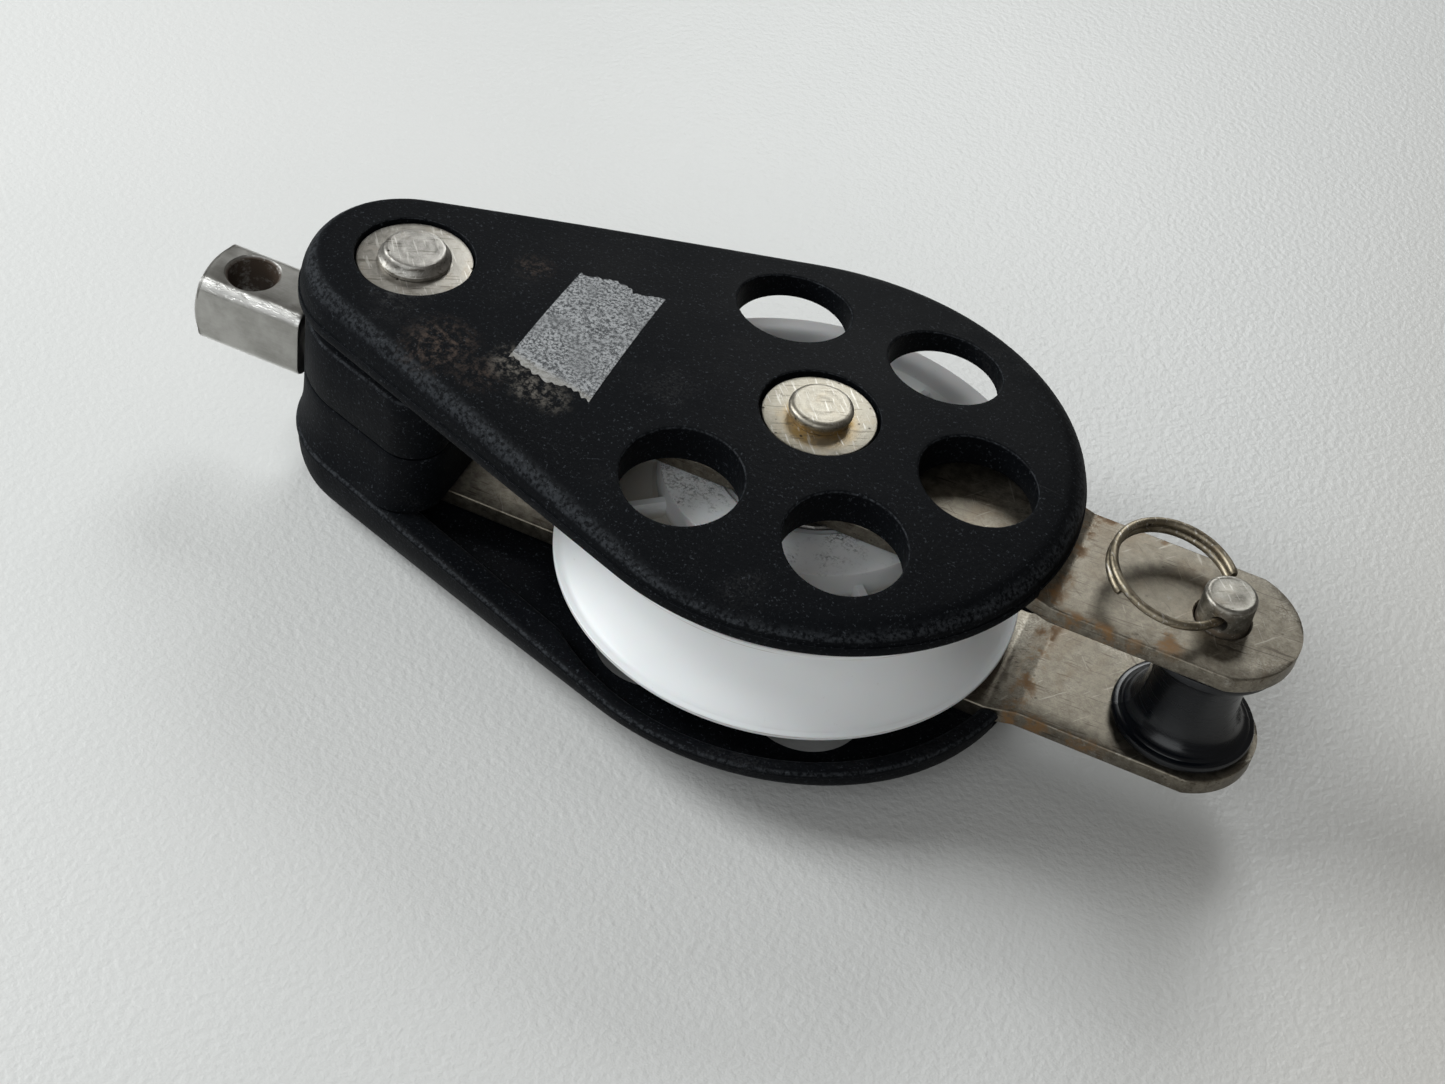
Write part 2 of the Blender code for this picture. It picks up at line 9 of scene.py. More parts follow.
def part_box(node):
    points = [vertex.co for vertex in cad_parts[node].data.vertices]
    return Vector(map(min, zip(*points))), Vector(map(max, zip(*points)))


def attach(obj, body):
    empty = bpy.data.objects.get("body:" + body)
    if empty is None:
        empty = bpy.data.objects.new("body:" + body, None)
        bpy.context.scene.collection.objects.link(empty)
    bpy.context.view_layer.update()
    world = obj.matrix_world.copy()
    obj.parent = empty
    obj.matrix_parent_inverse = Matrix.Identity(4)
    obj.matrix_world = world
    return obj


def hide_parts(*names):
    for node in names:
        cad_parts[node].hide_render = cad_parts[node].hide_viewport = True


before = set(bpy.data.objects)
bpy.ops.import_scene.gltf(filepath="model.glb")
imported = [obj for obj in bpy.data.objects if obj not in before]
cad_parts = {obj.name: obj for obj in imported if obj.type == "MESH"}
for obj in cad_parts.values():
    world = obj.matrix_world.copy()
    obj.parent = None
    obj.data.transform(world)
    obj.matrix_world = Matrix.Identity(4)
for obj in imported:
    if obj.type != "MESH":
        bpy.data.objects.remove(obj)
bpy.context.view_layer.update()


# ---- Table, light and camera ----
# The block lies on a white laminate table with a fine orange-peel surface and a little dirt.
# Soft lights stand on the left, behind it and before it, and a pale room fills the shadows.
MM = 0.001
middle_z = (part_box("sheave")[0].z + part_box("sheave")[1].z) / 2


def add(kind, inputs=(), **settings):
    """A node in the tree being built. Each input takes a plain value or a node's output."""
    made = tree.nodes.new(kind if kind.startswith("Node") else "ShaderNode" + kind)
    for name, value in settings.items():
        setattr(made, name, value)
    for name, value in dict(inputs).items():
        if isinstance(value, bpy.types.NodeSocket):
            tree.links.new(value, made.inputs[name])
        else:
            made.inputs[name].default_value = value
    return made


def calc(operation, *values, clamp=False):
    """The result of one Math node on plain values or outputs."""
    inputs = dict(enumerate(values))
    return add("Math", inputs, operation=operation, use_clamp=clamp).outputs[0]


def times(first, second):
    """The product of two values or outputs."""
    return calc("MULTIPLY", first, second)


def ramp(value, low, high, start=0.0, end=1.0):
    """Value taken smoothly from start at low to end at high, and held outside them."""
    inputs = {"Value": value, "From Min": low, "From Max": high, "To Min": start, "To Max": end}
    return add("MapRange", inputs, interpolation_type="SMOOTHSTEP").outputs["Result"]


def noise(place, scale, detail=3.0, roughness=0.55, distortion=0.0):
    """Noise over a place, as one value."""
    inputs = {"Vector": place, "Scale": scale, "Detail": detail}
    inputs |= {"Roughness": roughness, "Distortion": distortion}
    return add("TexNoise", inputs).outputs["Fac"]


def cells(place, scale, near, far):
    """Round spots in the cells of a place, and each cell's own colour for picking some."""
    made = add("TexVoronoi", {"Vector": place, "Scale": scale}).outputs
    picked = add("SeparateColor", {"Color": made["Color"]}).outputs
    return ramp(made["Distance"], near, far, 1.0, 0.0), picked


def axes(vector):
    """The X, Y and Z of a vector."""
    return add("SeparateXYZ", {"Vector": vector}).outputs


def tint(factor, first, second):
    """Two colours mixed by a factor."""
    first, second = ((*c, 1) if isinstance(c, tuple) else c for c in (first, second))
    return add("Mix", {0: factor, 6: first, 7: second}, data_type="RGBA").outputs[2]


def dent(height, strength, distance):
    """A normal bent by a height, whose full rise is a distance in metres."""
    inputs = {"Height": height, "Strength": strength, "Distance": distance}
    return add("Bump", inputs).outputs["Normal"]


def finish_of(name, roughness=0.5, metallic=0.0, **fixed):
    """A new material, whose tree is built next, and its object coordinates."""
    global tree
    made = bpy.data.materials.new(name)
    made.use_nodes = True
    tree = made.node_tree
    for socket, value in dict(fixed, Roughness=roughness, Metallic=metallic).items():
        tree.nodes["Principled BSDF"].inputs[socket.replace("_", " ")].default_value = value
    return made, add("TexCoord").outputs["Object"]


def wire(made, **sources):
    """The material with outputs led to its shader's sockets, named with underscores."""
    for socket, source in sources.items():
        shader = tree.nodes["Principled BSDF"]
        tree.links.new(source, shader.inputs[socket.replace("_", " ")])
    return made


def around(place, centre, reach, soft):
    """A mask that is 1 within a reach of a point and fades to 0 over a softness."""
    far = add("VectorMath", {0: place, 1: centre}, operation="DISTANCE")
    return ramp(far.outputs["Value"], reach, reach + soft, 1.0, 0.0)


def point(x, y, z=0.0):
    """A place in metres from millimetres about the axle and the middle plane."""
    return (x * MM, y * MM, z * MM + middle_z)


def table_finish():
    """White laminate: orange peel, a wandering grey, a painted warm shade at one end, a few dark
    crumbs.
    """
    made, place = finish_of("white_laminate", roughness=0.42)
    cloud = noise(place, 5.0, 3.0)
    colour = tint(ramp(cloud, 0.3, 0.7), (0.66, 0.665, 0.655), (0.70, 0.70, 0.69))
    spot = axes(place)
    # Painted warm shade: beyond 50 mm on X the table turns darker and warmer, where the block's
    # shade falls on it.
    painted_warm_shade = ramp(spot["X"], 50 * MM, 150 * MM)
    colour = tint(painted_warm_shade, colour, (0.665, 0.645, 0.61))
    near, chance = cells(place, 38.0, 0.012, 0.022)
    crumbs = times(near, ramp(chance["Red"], 0.82, 0.84))
    colour = tint(crumbs, colour, (0.10, 0.09, 0.08))
    peel = noise(place, 780.0, 2.0)
    return wire(made, Base_Color=colour, Normal=dent(peel, 0.5, 0.34 * MM))


bpy.ops.mesh.primitive_plane_add(size=4.0, location=(0, 0, 0))
table = bpy.context.object
table.name = "table"
table.data.materials.append(table_finish())

CAMERA_AIM = Vector((-8.2 * MM, -11.0 * MM, middle_z))
CAMERA_DISTANCE = 370.6 * MM
CAMERA_AZIMUTH = math.radians(15.25)
CAMERA_ELEVATION = math.radians(44.47)
CAMERA_ROLL = math.radians(10.96)

camera = bpy.data.objects.new("camera", bpy.data.cameras.new("camera"))
camera.data.lens = 59.46
camera.data.sensor_width = 36.0
camera.data.clip_start = 0.01
turned_head = Matrix.Rotation(CAMERA_AZIMUTH, 4, "Z")
raised_head = Matrix.Rotation(math.pi / 2 - CAMERA_ELEVATION, 4, "X")
rolled_head = Matrix.Rotation(CAMERA_ROLL, 4, "Z")
stand_off = Matrix.Translation((0, 0, CAMERA_DISTANCE))
camera.matrix_world = (
    Matrix.Translation(CAMERA_AIM) @ turned_head @ raised_head @ rolled_head @ stand_off
)
bpy.context.scene.collection.objects.link(camera)
bpy.context.scene.camera = camera


def soft_light(name, place, aim, size, power, colour):
    """A square area light at a place, turned to face its aim."""
    lamp = bpy.data.lights.new(name, "AREA")
    lamp.shape = "SQUARE"
    lamp.size = size
    lamp.energy = power
    lamp.color = colour
    light = bpy.data.objects.new(name, lamp)
    light.location = place
    light.rotation_euler = (Vector(aim) - Vector(place)).to_track_quat("-Z", "Y").to_euler()
    bpy.context.scene.collection.objects.link(light)


soft_light("window", (-0.60, -0.10, 0.45), (0, 0, 0), 0.34, 4.5, (0.965, 0.995, 1.0))
soft_light("doorway", (-0.16, 0.86, 0.66), (0, 0, 0), 0.42, 3.9, (0.965, 0.995, 1.0))
soft_light("room", (-0.05, -0.90, 0.6), (0, 0, 0), 0.9, 4.2, (0.94, 0.98, 1.0))
world = bpy.data.worlds.new("room")
world.use_nodes = True
world.node_tree.nodes["Background"].inputs["Color"].default_value = (0.80, 0.76, 0.70, 1)
world.node_tree.nodes["Background"].inputs["Strength"].default_value = 0.16
bpy.context.scene.world = world
bpy.context.scene.view_settings.view_transform = "Standard"


# ---- Cheeks ----
# Two teardrop plates moulded in black fibre-filled plastic, each with a crowned outer face,
# a rim skirt and five round windows. The axle and the head pin rivet them to the block.
SIDES = (("upper", 1), ("lower", -1))
HEAD_X = -69.0
RIM_RADIUS = 42.6
RIM_HEAD_RADIUS = 18.0
CROWN_TOP = 22.9
CROWN_FALL = {1: 0.0026, -1: 0.0040}
INNER_FACE = {1: 16.2, -1: 15.0}
PARTING_LINE = {1: 16.45, -1: 12.55}
BAND_TOP = {1: 16.9, -1: 12.95}
ROUND_OVER = 4.0
SKIRT_END = 14.4
SKIRT_WIDTH = 4.0
LOWER_LIP = 11.4
POCKET_INSET = 5.8
POCKET_RADIUS = 39.3
WINDOW_CIRCLE = 26.0
WINDOW_RADIUS = 9.25
RIVET_SEATS = ((0.0, 9.4), (HEAD_X, 9.5))
SEAT_FLOOR = 20.5


def outline(big, small, bulge=None):
    """Points round two circles and their tangents, as x and y arrays in millimetres.

    Big and small are columns of radii, one row each. Arcs and flanks keep their share of
    points, so that rows with other radii line up and can be skinned. A bulge is a wider
    circle on the axle, which the straight flanks run into.
    """
    big = np.asarray(big, float).reshape(-1, 1)
    small = np.asarray(small, float).reshape(-1, 1)
    round_big = big if bulge is None else np.asarray(bulge, float).reshape(-1, 1)
    lean = np.arcsin((big - small) / abs(HEAD_X))
    reach = np.pi / 2 + lean
    turn = (reach + np.arccos(big / round_big)) * np.linspace(-1, 1, 121)
    x_big = round_big * np.cos(turn)
    y_big = round_big * np.sin(turn)
    turn = reach + (np.pi - reach) * (1 + np.linspace(-1, 1, 61))
    x_small = HEAD_X + small * np.cos(turn)
    y_small = small * np.sin(turn)
    along = np.linspace(0, 1, 42)[1:-1]
    x_up = x_big[:, -1:] + (x_small[:, :1] - x_big[:, -1:]) * along
    y_up = y_big[:, -1:] + (y_small[:, :1] - y_big[:, -1:]) * along
    x = np.hstack([x_big, x_up, x_small, x_up[:, ::-1]])
    y = np.hstack([y_big, y_up, y_small, -y_up[:, ::-1]])
    return x, y


def crown(x, y, side=1):
    """Height of the crowned face: a parabola across, and one that starts at the axle along."""
    along = np.maximum(x + 4.8, 0)
    return CROWN_TOP - CROWN_FALL[side] * y**2 - 0.00142 * along**2


def lap(count):
    """Angles once round a circle."""
    return np.linspace(0, 2 * np.pi, count, endpoint=False)


def points(x, y, z):
    """Points of three coordinates, each an array or one number."""
    return np.stack(np.broadcast_arrays(x, y, z), -1)


def skin(name, rows, capped=True):
    """A closed body over rows of points that run round it.

    Its ends have flat caps, or its last row lies on its first.
    """
    rows = np.asarray(rows, float) * MM
    rows[..., 2] += middle_z
    index = np.arange(rows[..., 0].size).reshape(rows.shape[:2])
    onward = np.roll(index, -1, axis=1)
    quads = np.stack([index[:-1], onward[:-1], onward[1:], index[1:]], -1).reshape(-1, 4)
    mesh = bpy.data.meshes.new(name)
    caps = [index[0, ::-1].tolist(), index[-1].tolist()] if capped else []
    mesh.from_pydata(rows.reshape(-1, 3), [], quads.tolist() + caps)
    return settle(name, mesh)


def settle(name, mesh, crease=32):
    """A mesh made a piece: doubles merged, faces turned outwards, round faces shaded smooth."""
    shape = bmesh.new()
    shape.from_mesh(mesh)
    bmesh.ops.remove_doubles(shape, verts=shape.verts, dist=0.002 * MM)
    bmesh.ops.dissolve_degenerate(shape, edges=shape.edges, dist=0.001 * MM)
    bmesh.ops.triangulate(shape, faces=[f for f in shape.faces if len(f.verts) > 12])
    bmesh.ops.recalc_face_normals(shape, faces=shape.faces)
    shape.to_mesh(mesh)
    shape.free()
    mesh.shade_smooth()
    mesh.set_sharp_from_angle(angle=math.radians(crease))
    piece = bpy.data.objects.new(name, mesh)
    bpy.context.scene.collection.objects.link(piece)
    return piece


def carve(piece, tools, operation="DIFFERENCE", crease=32):
    """Tool bodies cut from a piece or joined to it. The tools are used up."""
    for tool in tools:
        change = piece.modifiers.new(tool.name, "BOOLEAN")
        change.operation = operation
        change.object = tool
        change.solver = "EXACT"
    graph = bpy.context.evaluated_depsgraph_get()
    mesh = bpy.data.meshes.new_from_object(piece.evaluated_get(graph))
    name = piece.name
    for used in (piece, *tools):
        bpy.data.objects.remove(used)
    mesh.name = name
    mesh.materials.clear()
    return settle(name, mesh, crease)


def spun(name, profile, place=(0.0, 0.0), count=96, axis="Z", height=0.0, capped=True):
    """A turned body: a profile of (radius, height) points carried round an axis.

    Each radius may be an array round the axis, and so may each height.
    """
    turn = lap(count)
    rows = []
    for radius, level in profile:
        across = place[0] + np.maximum(radius, 1e-3) * np.cos(turn)
        along = place[1] + np.maximum(radius, 1e-3) * np.sin(turn)
        level = level + height
        place_of = (across, along, level) if axis == "Z" else (level, across, along)
        rows.append(points(*place_of))
    return skin(name, rows, capped)


def round_hole(name, x, y, radius, floor, lip, side):
    """A cutter for a hole whose mouth is rounded onto the crowned face by a small radius."""
    turn = lap(72)
    sweep = np.linspace(0, np.pi / 2, 6)[:, None]
    reach = radius + lip * (1 - np.cos(sweep)) + 0 * turn
    px = x + reach * np.cos(turn)
    py = y + reach * np.sin(turn)
    pz = crown(px, py, side) - lip * (1 - np.sin(sweep))
    under = points(px[:1], py[:1], floor)
    mouth = points(px, py, pz)
    over = points(px[-1:], py[-1:], CROWN_TOP + 2)
    rows = np.concatenate([under, mouth, over])
    rows[..., 2] *= side
    return skin(name, rows)


def pocket():
    """Cutter for the lower cheek's inside: the sheave's circle run into two flanks.

    Its mouth widens as an inverted quarter circle, which rounds the rim's inner edge.
    """
    floor = INNER_FACE[-1]
    flare = [(0.0, floor), (0.0, LOWER_LIP + 1.8)]
    for turn in np.linspace(0.15, np.pi / 2, 7):
        flare.append((1.8 * (1 - math.cos(turn)), LOWER_LIP + 1.8 * (1 - math.sin(turn))))
    flare.append((1.8, LOWER_LIP - 1))
    rows = []
    for grow, level in flare:
        big = RIM_RADIUS - POCKET_INSET + grow
        small = RIM_HEAD_RADIUS - POCKET_INSET + grow
        x, y = outline(big, small, POCKET_RADIUS + grow)
        rows.append(points(x[0], y[0], -level))
    return skin("pocket", rows)


def cheek(name, side):
    """Rim, parting line, round-over and crown as offsets of the outline, then its holes."""
    inner = INNER_FACE[side]
    band = BAND_TOP[side]
    if side > 0:
        root = ((0.5, 0), (0.15, 0.15), (0, 0.5))
        walls = [(SKIRT_WIDTH + inset, inner - drop) for inset, drop in root]
        foot = [(SKIRT_WIDTH, 0.3), (SKIRT_WIDTH - 0.3, 0), (0.8, 0), (0.25, 0.2), (0, 0.75)]
        walls += [(inset, SKIRT_END + rise) for inset, rise in foot]
    else:
        walls = [
            (1.3 * (1 - math.sin(turn)), LOWER_LIP + 1.0 * (1 - math.cos(turn)))
            for turn in np.linspace(0, np.pi / 2, 8)
        ]
    seam = [(0.0, -0.1), (0.06, 0.0), (0.26, 0.04), (0.3, 0.12)]
    walls += [(inset, PARTING_LINE[side] + rise) for inset, rise in seam] + [(0.3, band)]
    rows = []
    for inset, level in walls:
        x, y = outline(RIM_RADIUS - inset, RIM_HEAD_RADIUS - inset)
        rows.append(points(x[0], y[0], level))
    for share in (0.04, 0.1, 0.18, 0.28, 0.4, 0.54, 0.7, 0.86, 1.0):
        inset = 0.3 + (ROUND_OVER - 0.3) * share
        x, y = outline(RIM_RADIUS - inset, RIM_HEAD_RADIUS - inset)
        rise = math.sqrt(1 - (1 - share) ** 2)
        level = band + rise * (crown(x, y, side) - band)
        rows.append(points(x[0], y[0], level[0]))
    inward = np.linspace(1, 0, 26)[1:]
    x, y = outline(
        0.6 + (RIM_RADIUS - ROUND_OVER - 0.6) * inward,
        0.6 + (RIM_HEAD_RADIUS - ROUND_OVER - 0.6) * inward,
    )
    rows += list(points(x, y, crown(x, y, side)))
    rows = np.array(rows)
    rows[..., 2] *= side
    body = skin(name, rows)
    if side > 0:
        boss = [(9.0, 15.0), (9.0, 18.0)]
        bosses = [spun("axle_boss", boss), spun("head_boss", boss, (HEAD_X, 0.0))]
        body = carve(body, bosses, "UNION")
        cutters = []
    else:
        cutters = [pocket()]
    for turn in (0, 60, 120, -60, -120):
        x = WINDOW_CIRCLE * math.cos(math.radians(turn))
        y = WINDOW_CIRCLE * math.sin(math.radians(turn))
        cutters.append(round_hole(f"window_{turn}", x, y, WINDOW_RADIUS, 12, 0.45, side))
    for i, (x, radius) in enumerate(RIVET_SEATS):
        cutters.append(round_hole(f"seat_{i}", x, 0.0, radius, SEAT_FLOOR, 0.3, side))
        cutters.append(spun(f"shank_{i}", [(4.3, side * 12), (4.3, side * 21.5)], (x, 0.0)))
    half = 12.15
    corners = np.array([(34, -half), (46, -half), (46, half), (34, half)])
    slab = [np.column_stack([corners, np.full(4, side * level)]) for level in (10.0, inner)]
    cutters.append(skin("strap_exit", slab))
    return carve(body, cutters)


def new_group(name, outputs, **inputs):
    """A new shader group, built next: its inputs and its texture coordinates."""
    global tree
    tree = bpy.data.node_groups.new(name, "ShaderNodeTree")
    for label, value in inputs.items():
        kinds = {"in_out": "INPUT", "socket_type": "NodeSocketFloat"}
        tree.interface.new_socket(label.replace("_", " "), **kinds).default_value = value
    for label, kind in outputs.items():
        tree.interface.new_socket(label, in_out="OUTPUT", socket_type="NodeSocket" + kind)
    return add("NodeGroupInput").outputs, add("TexCoord").outputs


def drawn(place, scale, turn=0.0, kind="POINT"):
    """A place scaled along its axes and turned about Z, which draws a pattern out."""
    inputs = {"Vector": place, "Scale": scale, "Rotation": (0, 0, turn)}
    return add("Mapping", inputs, vector_type=kind).outputs["Vector"]


def rubbed_edge_and_sheen_group():
    """Shader group: 1 on a rounded edge between an outer face and a wall, broken by noise, for
    rubbed wear and a painted sheen.

    It reads how far the object-space normal leans from the axle's direction: faces and walls
    give 0, and what lies between them gives up to 1.
    """
    given, spot = new_group("rubbed_edge_and_sheen", {"Mask": "Float"}, Scale=300.0, Amount=0.7)
    lean = calc("ABSOLUTE", axes(spot["Normal"])["Z"])
    off_face = ramp(lean, 0.93, 0.76)
    off_wall = ramp(lean, 0.30, 0.60)
    rubbed_and_sheen = noise(spot["Object"], given["Scale"], 5.0, 0.65)
    broken = ramp(rubbed_and_sheen, 0.38, 0.62)
    mask = times(times(off_face, off_wall), broken)
    mask = times(mask, given["Amount"])
    add("NodeGroupOutput", {"Mask": mask})
    return tree


def scuff_group():
    """Shader group: thin scratches two ways and powdery patches, as a mask from 0 to 1."""
    scales = {"Patch_Scale": 40.0, "Scratch_Scale": 90.0}
    given, spot = new_group("scuffs", {"Mask": "Float"}, **scales, Amount=0.5)
    place = spot["Object"]
    total = None
    for turn, stretch in ((0.5, (1, 22, 1)), (-0.9, (1, 30, 1))):
        fine = noise(drawn(place, stretch, turn), given["Scratch Scale"], 2.0, 0.5)
        thin = ramp(fine, 0.70, 0.76)
        total = thin if total is None else calc("MAXIMUM", total, thin)
    cloud = noise(place, given["Patch Scale"], 6.0, 0.7)
    patch = ramp(cloud, 0.52, 0.74)
    powder = noise(place, 2600.0, 2.0, 0.6)
    patch = times(patch, ramp(powder, 0.40, 0.62))
    kept = noise(place, 55.0, 2.0)
    total = times(total, ramp(kept, 0.5, 0.65))
    total = calc("ADD", times(total, 0.5), patch, clamp=True)
    add("NodeGroupOutput", {"Mask": times(total, given["Amount"])})
    return tree


def grain_group():
    """Shader group: a normal bent by a fine moulded grain and slow unevenness."""
    sizes = {"Grain_Scale": 1900.0, "Depth": 0.5}
    given, spot = new_group("moulded_grain", {"Normal": "Vector"}, **sizes)
    place = spot["Object"]
    fine = noise(place, given["Grain Scale"], 3.0, 0.6)
    slow = noise(place, 160.0, 2.0, 0.5)
    height = calc("ADD", fine, times(slow, 1.5))
    add("NodeGroupOutput", {"Normal": dent(height, given["Depth"], 0.12 * MM)})
    return tree


rubbed_edge_and_sheen = rubbed_edge_and_sheen_group()
scuffs = scuff_group()
moulded_grain = grain_group()


def use_group(group, **inputs):
    """The outputs of a shader group placed with its own values, named with underscores."""
    inputs = {label.replace("_", " "): value for label, value in inputs.items()}
    return add("Group", inputs=inputs, node_tree=group).outputs


def black_finish(name, dust=0.5, edge=0.75, soil=()):
    """Black moulding: matt and grainy, with pale specks, rubbed edges with a painted sheen,
    scuffs and soil.

    Soil is a list of places with a reach in millimetres, a strength and a colour.
    """
    made, place = finish_of(name, roughness=0.66, Specular_IOR_Level=0.06)
    shade = noise(place, 30.0, 3.0)
    colour = tint(shade, (0.0006, 0.0009, 0.0015), (0.0038, 0.0048, 0.0064))
    speckle = ramp(noise(place, 2100.0, 3.0, 0.75), 0.58, 0.72)
    colour = tint(times(speckle, 0.8), colour, (0.050, 0.056, 0.064))
    scuffed = use_group(scuffs, Patch_Scale=34.0, Scratch_Scale=70.0, Amount=dust)["Mask"]
    colour = tint(scuffed, colour, (0.060, 0.060, 0.060))
    # Rubbed edges: wear on the rounded rims, brightened further as a painted sheen in place of
    # the rim's grazing reflection.
    rubbed_and_sheen = use_group(rubbed_edge_and_sheen, Scale=1500.0, Amount=edge)["Mask"]
    colour = tint(rubbed_and_sheen, colour, (0.078, 0.085, 0.095))
    crumbs = noise(place, 850.0, 5.0, 0.75)
    for centre, reach, strength, tone in soil:
        spot = around(place, centre, 0.2 * reach * MM, 1.1 * reach * MM)
        spot = times(ramp(crumbs, 0.44, 0.66), spot)
        colour = tint(times(spot, strength), colour, tone)
    rough = ramp(shade, 0.3, 0.7, 0.56, 0.68)
    grain = use_group(moulded_grain, Grain_Scale=1500.0, Depth=0.6)["Normal"]
    return wire(made, Base_Color=colour, Roughness=rough, Normal=grain)


def dress(piece, material, body, slot, *nodes):
    """A piece given its material, its body and the nodes it stands for. Its slot argument is not
    used.
    """
    piece.data.materials.append(material)
    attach(piece, body)
    if nodes:
        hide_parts(*nodes)


BROWN_SOIL = (0.085, 0.062, 0.050)
PAPER_SHREDS = (0.17, 0.155, 0.135)
cheek_soil = [
    (point(-56.1, -16.1, 22.0), 6.0, 0.75, BROWN_SOIL),
    (point(-48.0, -18.5, 21.8), 4.0, 0.45, BROWN_SOIL),
    (point(-67.0, -8.5, 22.6), 5.0, 0.35, (0.075, 0.075, 0.075)),
    (point(-51.9, 7.6, 22.6), 3.2, 0.55, BROWN_SOIL),
    (point(-44.6, -14.2, 22.0), 4.0, 0.8, PAPER_SHREDS),
    (point(-40.0, -17.4, 21.7), 3.4, 0.8, PAPER_SHREDS),
    (point(-36.0, -18.0, 21.6), 3.0, 0.6, PAPER_SHREDS),
]
cheek_finish = black_finish("black_cheek", dust=0.28, edge=0.34, soil=cheek_soil)
for where, side in SIDES:
    piece = cheek(f"{where}_cheek_shell", side)
    dress(piece, cheek_finish, "block_frame", "black_moulding", f"{where}_cheek")


# ---- Head block ----
# Two black moulded halves fill the space between the straps at the head and hold the post's
# button between them. The lower half swells into the lower cheek; the upper stops short.
BLOCK_END = -85.3
THROAT_X = -54.6
BLOCK_TOP = 11.4
BLOCK_FOOT = 11.1


def block_outline(swell, flare):
    """Outline at the middle plane, offset by a swell and grown to the foot's by a flare.

    It runs round a corner arc at the throat, the flank and the head arc cut off flat.
    """
    big = 39.6 + swell + 2.7 * flare
    small = 16.8 + swell + 0.9 * flare
    corner = 6.0 + swell + flare
    lean = math.asin((big - small) / abs(HEAD_X))
    cx = THROAT_X - corner + swell
    cy = (big - corner + math.sin(lean) * cx) / math.cos(lean)
    sweep = np.linspace(0, math.pi / 2 + lean, 24)
    x = [cx + corner * np.cos(sweep)]
    y = [cy + corner * np.sin(sweep)]
    sweep = np.linspace(math.pi / 2 + lean, math.pi, 50)[:-1]
    x.append(np.maximum(HEAD_X + small * np.cos(sweep), BLOCK_END))
    y.append(small * np.sin(sweep))
    x = np.concatenate(x)
    y = np.concatenate(y)
    return np.concatenate([x, x[::-1]]), np.concatenate([y, -y[::-1]])


def head_block(name, side):
    """Offsets of the outline from the parting plane outwards, then the pin and post bores."""
    walls = [(-0.4, 0.15, 0.0), (-0.12, 0.22, 0.0), (0.0, 0.5, 0.0)]
    if side > 0:
        edge = ((0.05, 0.9), (0.15, 0.45), (0.4, 0.12), (0.7, 0.0))
        walls += [(-inset, BLOCK_TOP - drop, 0.0) for inset, drop in edge]
    else:
        walls += [(0.0, BLOCK_FOOT * s, s**4) for s in np.linspace(0.15, 1, 16)]
    rows = []
    for swell, level, flare in walls:
        x, y = block_outline(swell, flare)
        rows.append(points(x, y, side * level))
    body = skin(name, rows)
    cutters = [
        spun("pin_bore", [(4.3, -side * 2), (4.3, side * 16)], (HEAD_X, 0.0)),
        spun("neck_bore", [(4.8, -90.0), (4.8, -80.0)], axis="X"),
        spun("button_pocket", [(6.7, -81.3), (6.7, -77.1)], axis="X"),
    ]
    return carve(body, cutters)


block_finish = black_finish("black_head_block", dust=0.35, edge=0.3)
for where, side in SIDES:
    piece = head_block(f"head_block_{where}_moulding", side)
    dress(piece, block_finish, "block_frame", "black_moulding", f"head_block_{where}")


# ---- Straps ----
# Two 3 mm stainless strips carry the load from the head pin past the axle to the becket pin.
# They are sheared, drilled and joggled in by half their thickness just outside the cheeks.
STRAP_HALF = 11.65
STRAP_LEVEL = 13.2
STRAP_DROP = 1.45
STRAP_THICK = 3.0
STEP_X = (38.4, 43.2)
BECKET_X = 66.7
TIP_RADIUS = 12.3
TAIL_RADIUS = 11.9


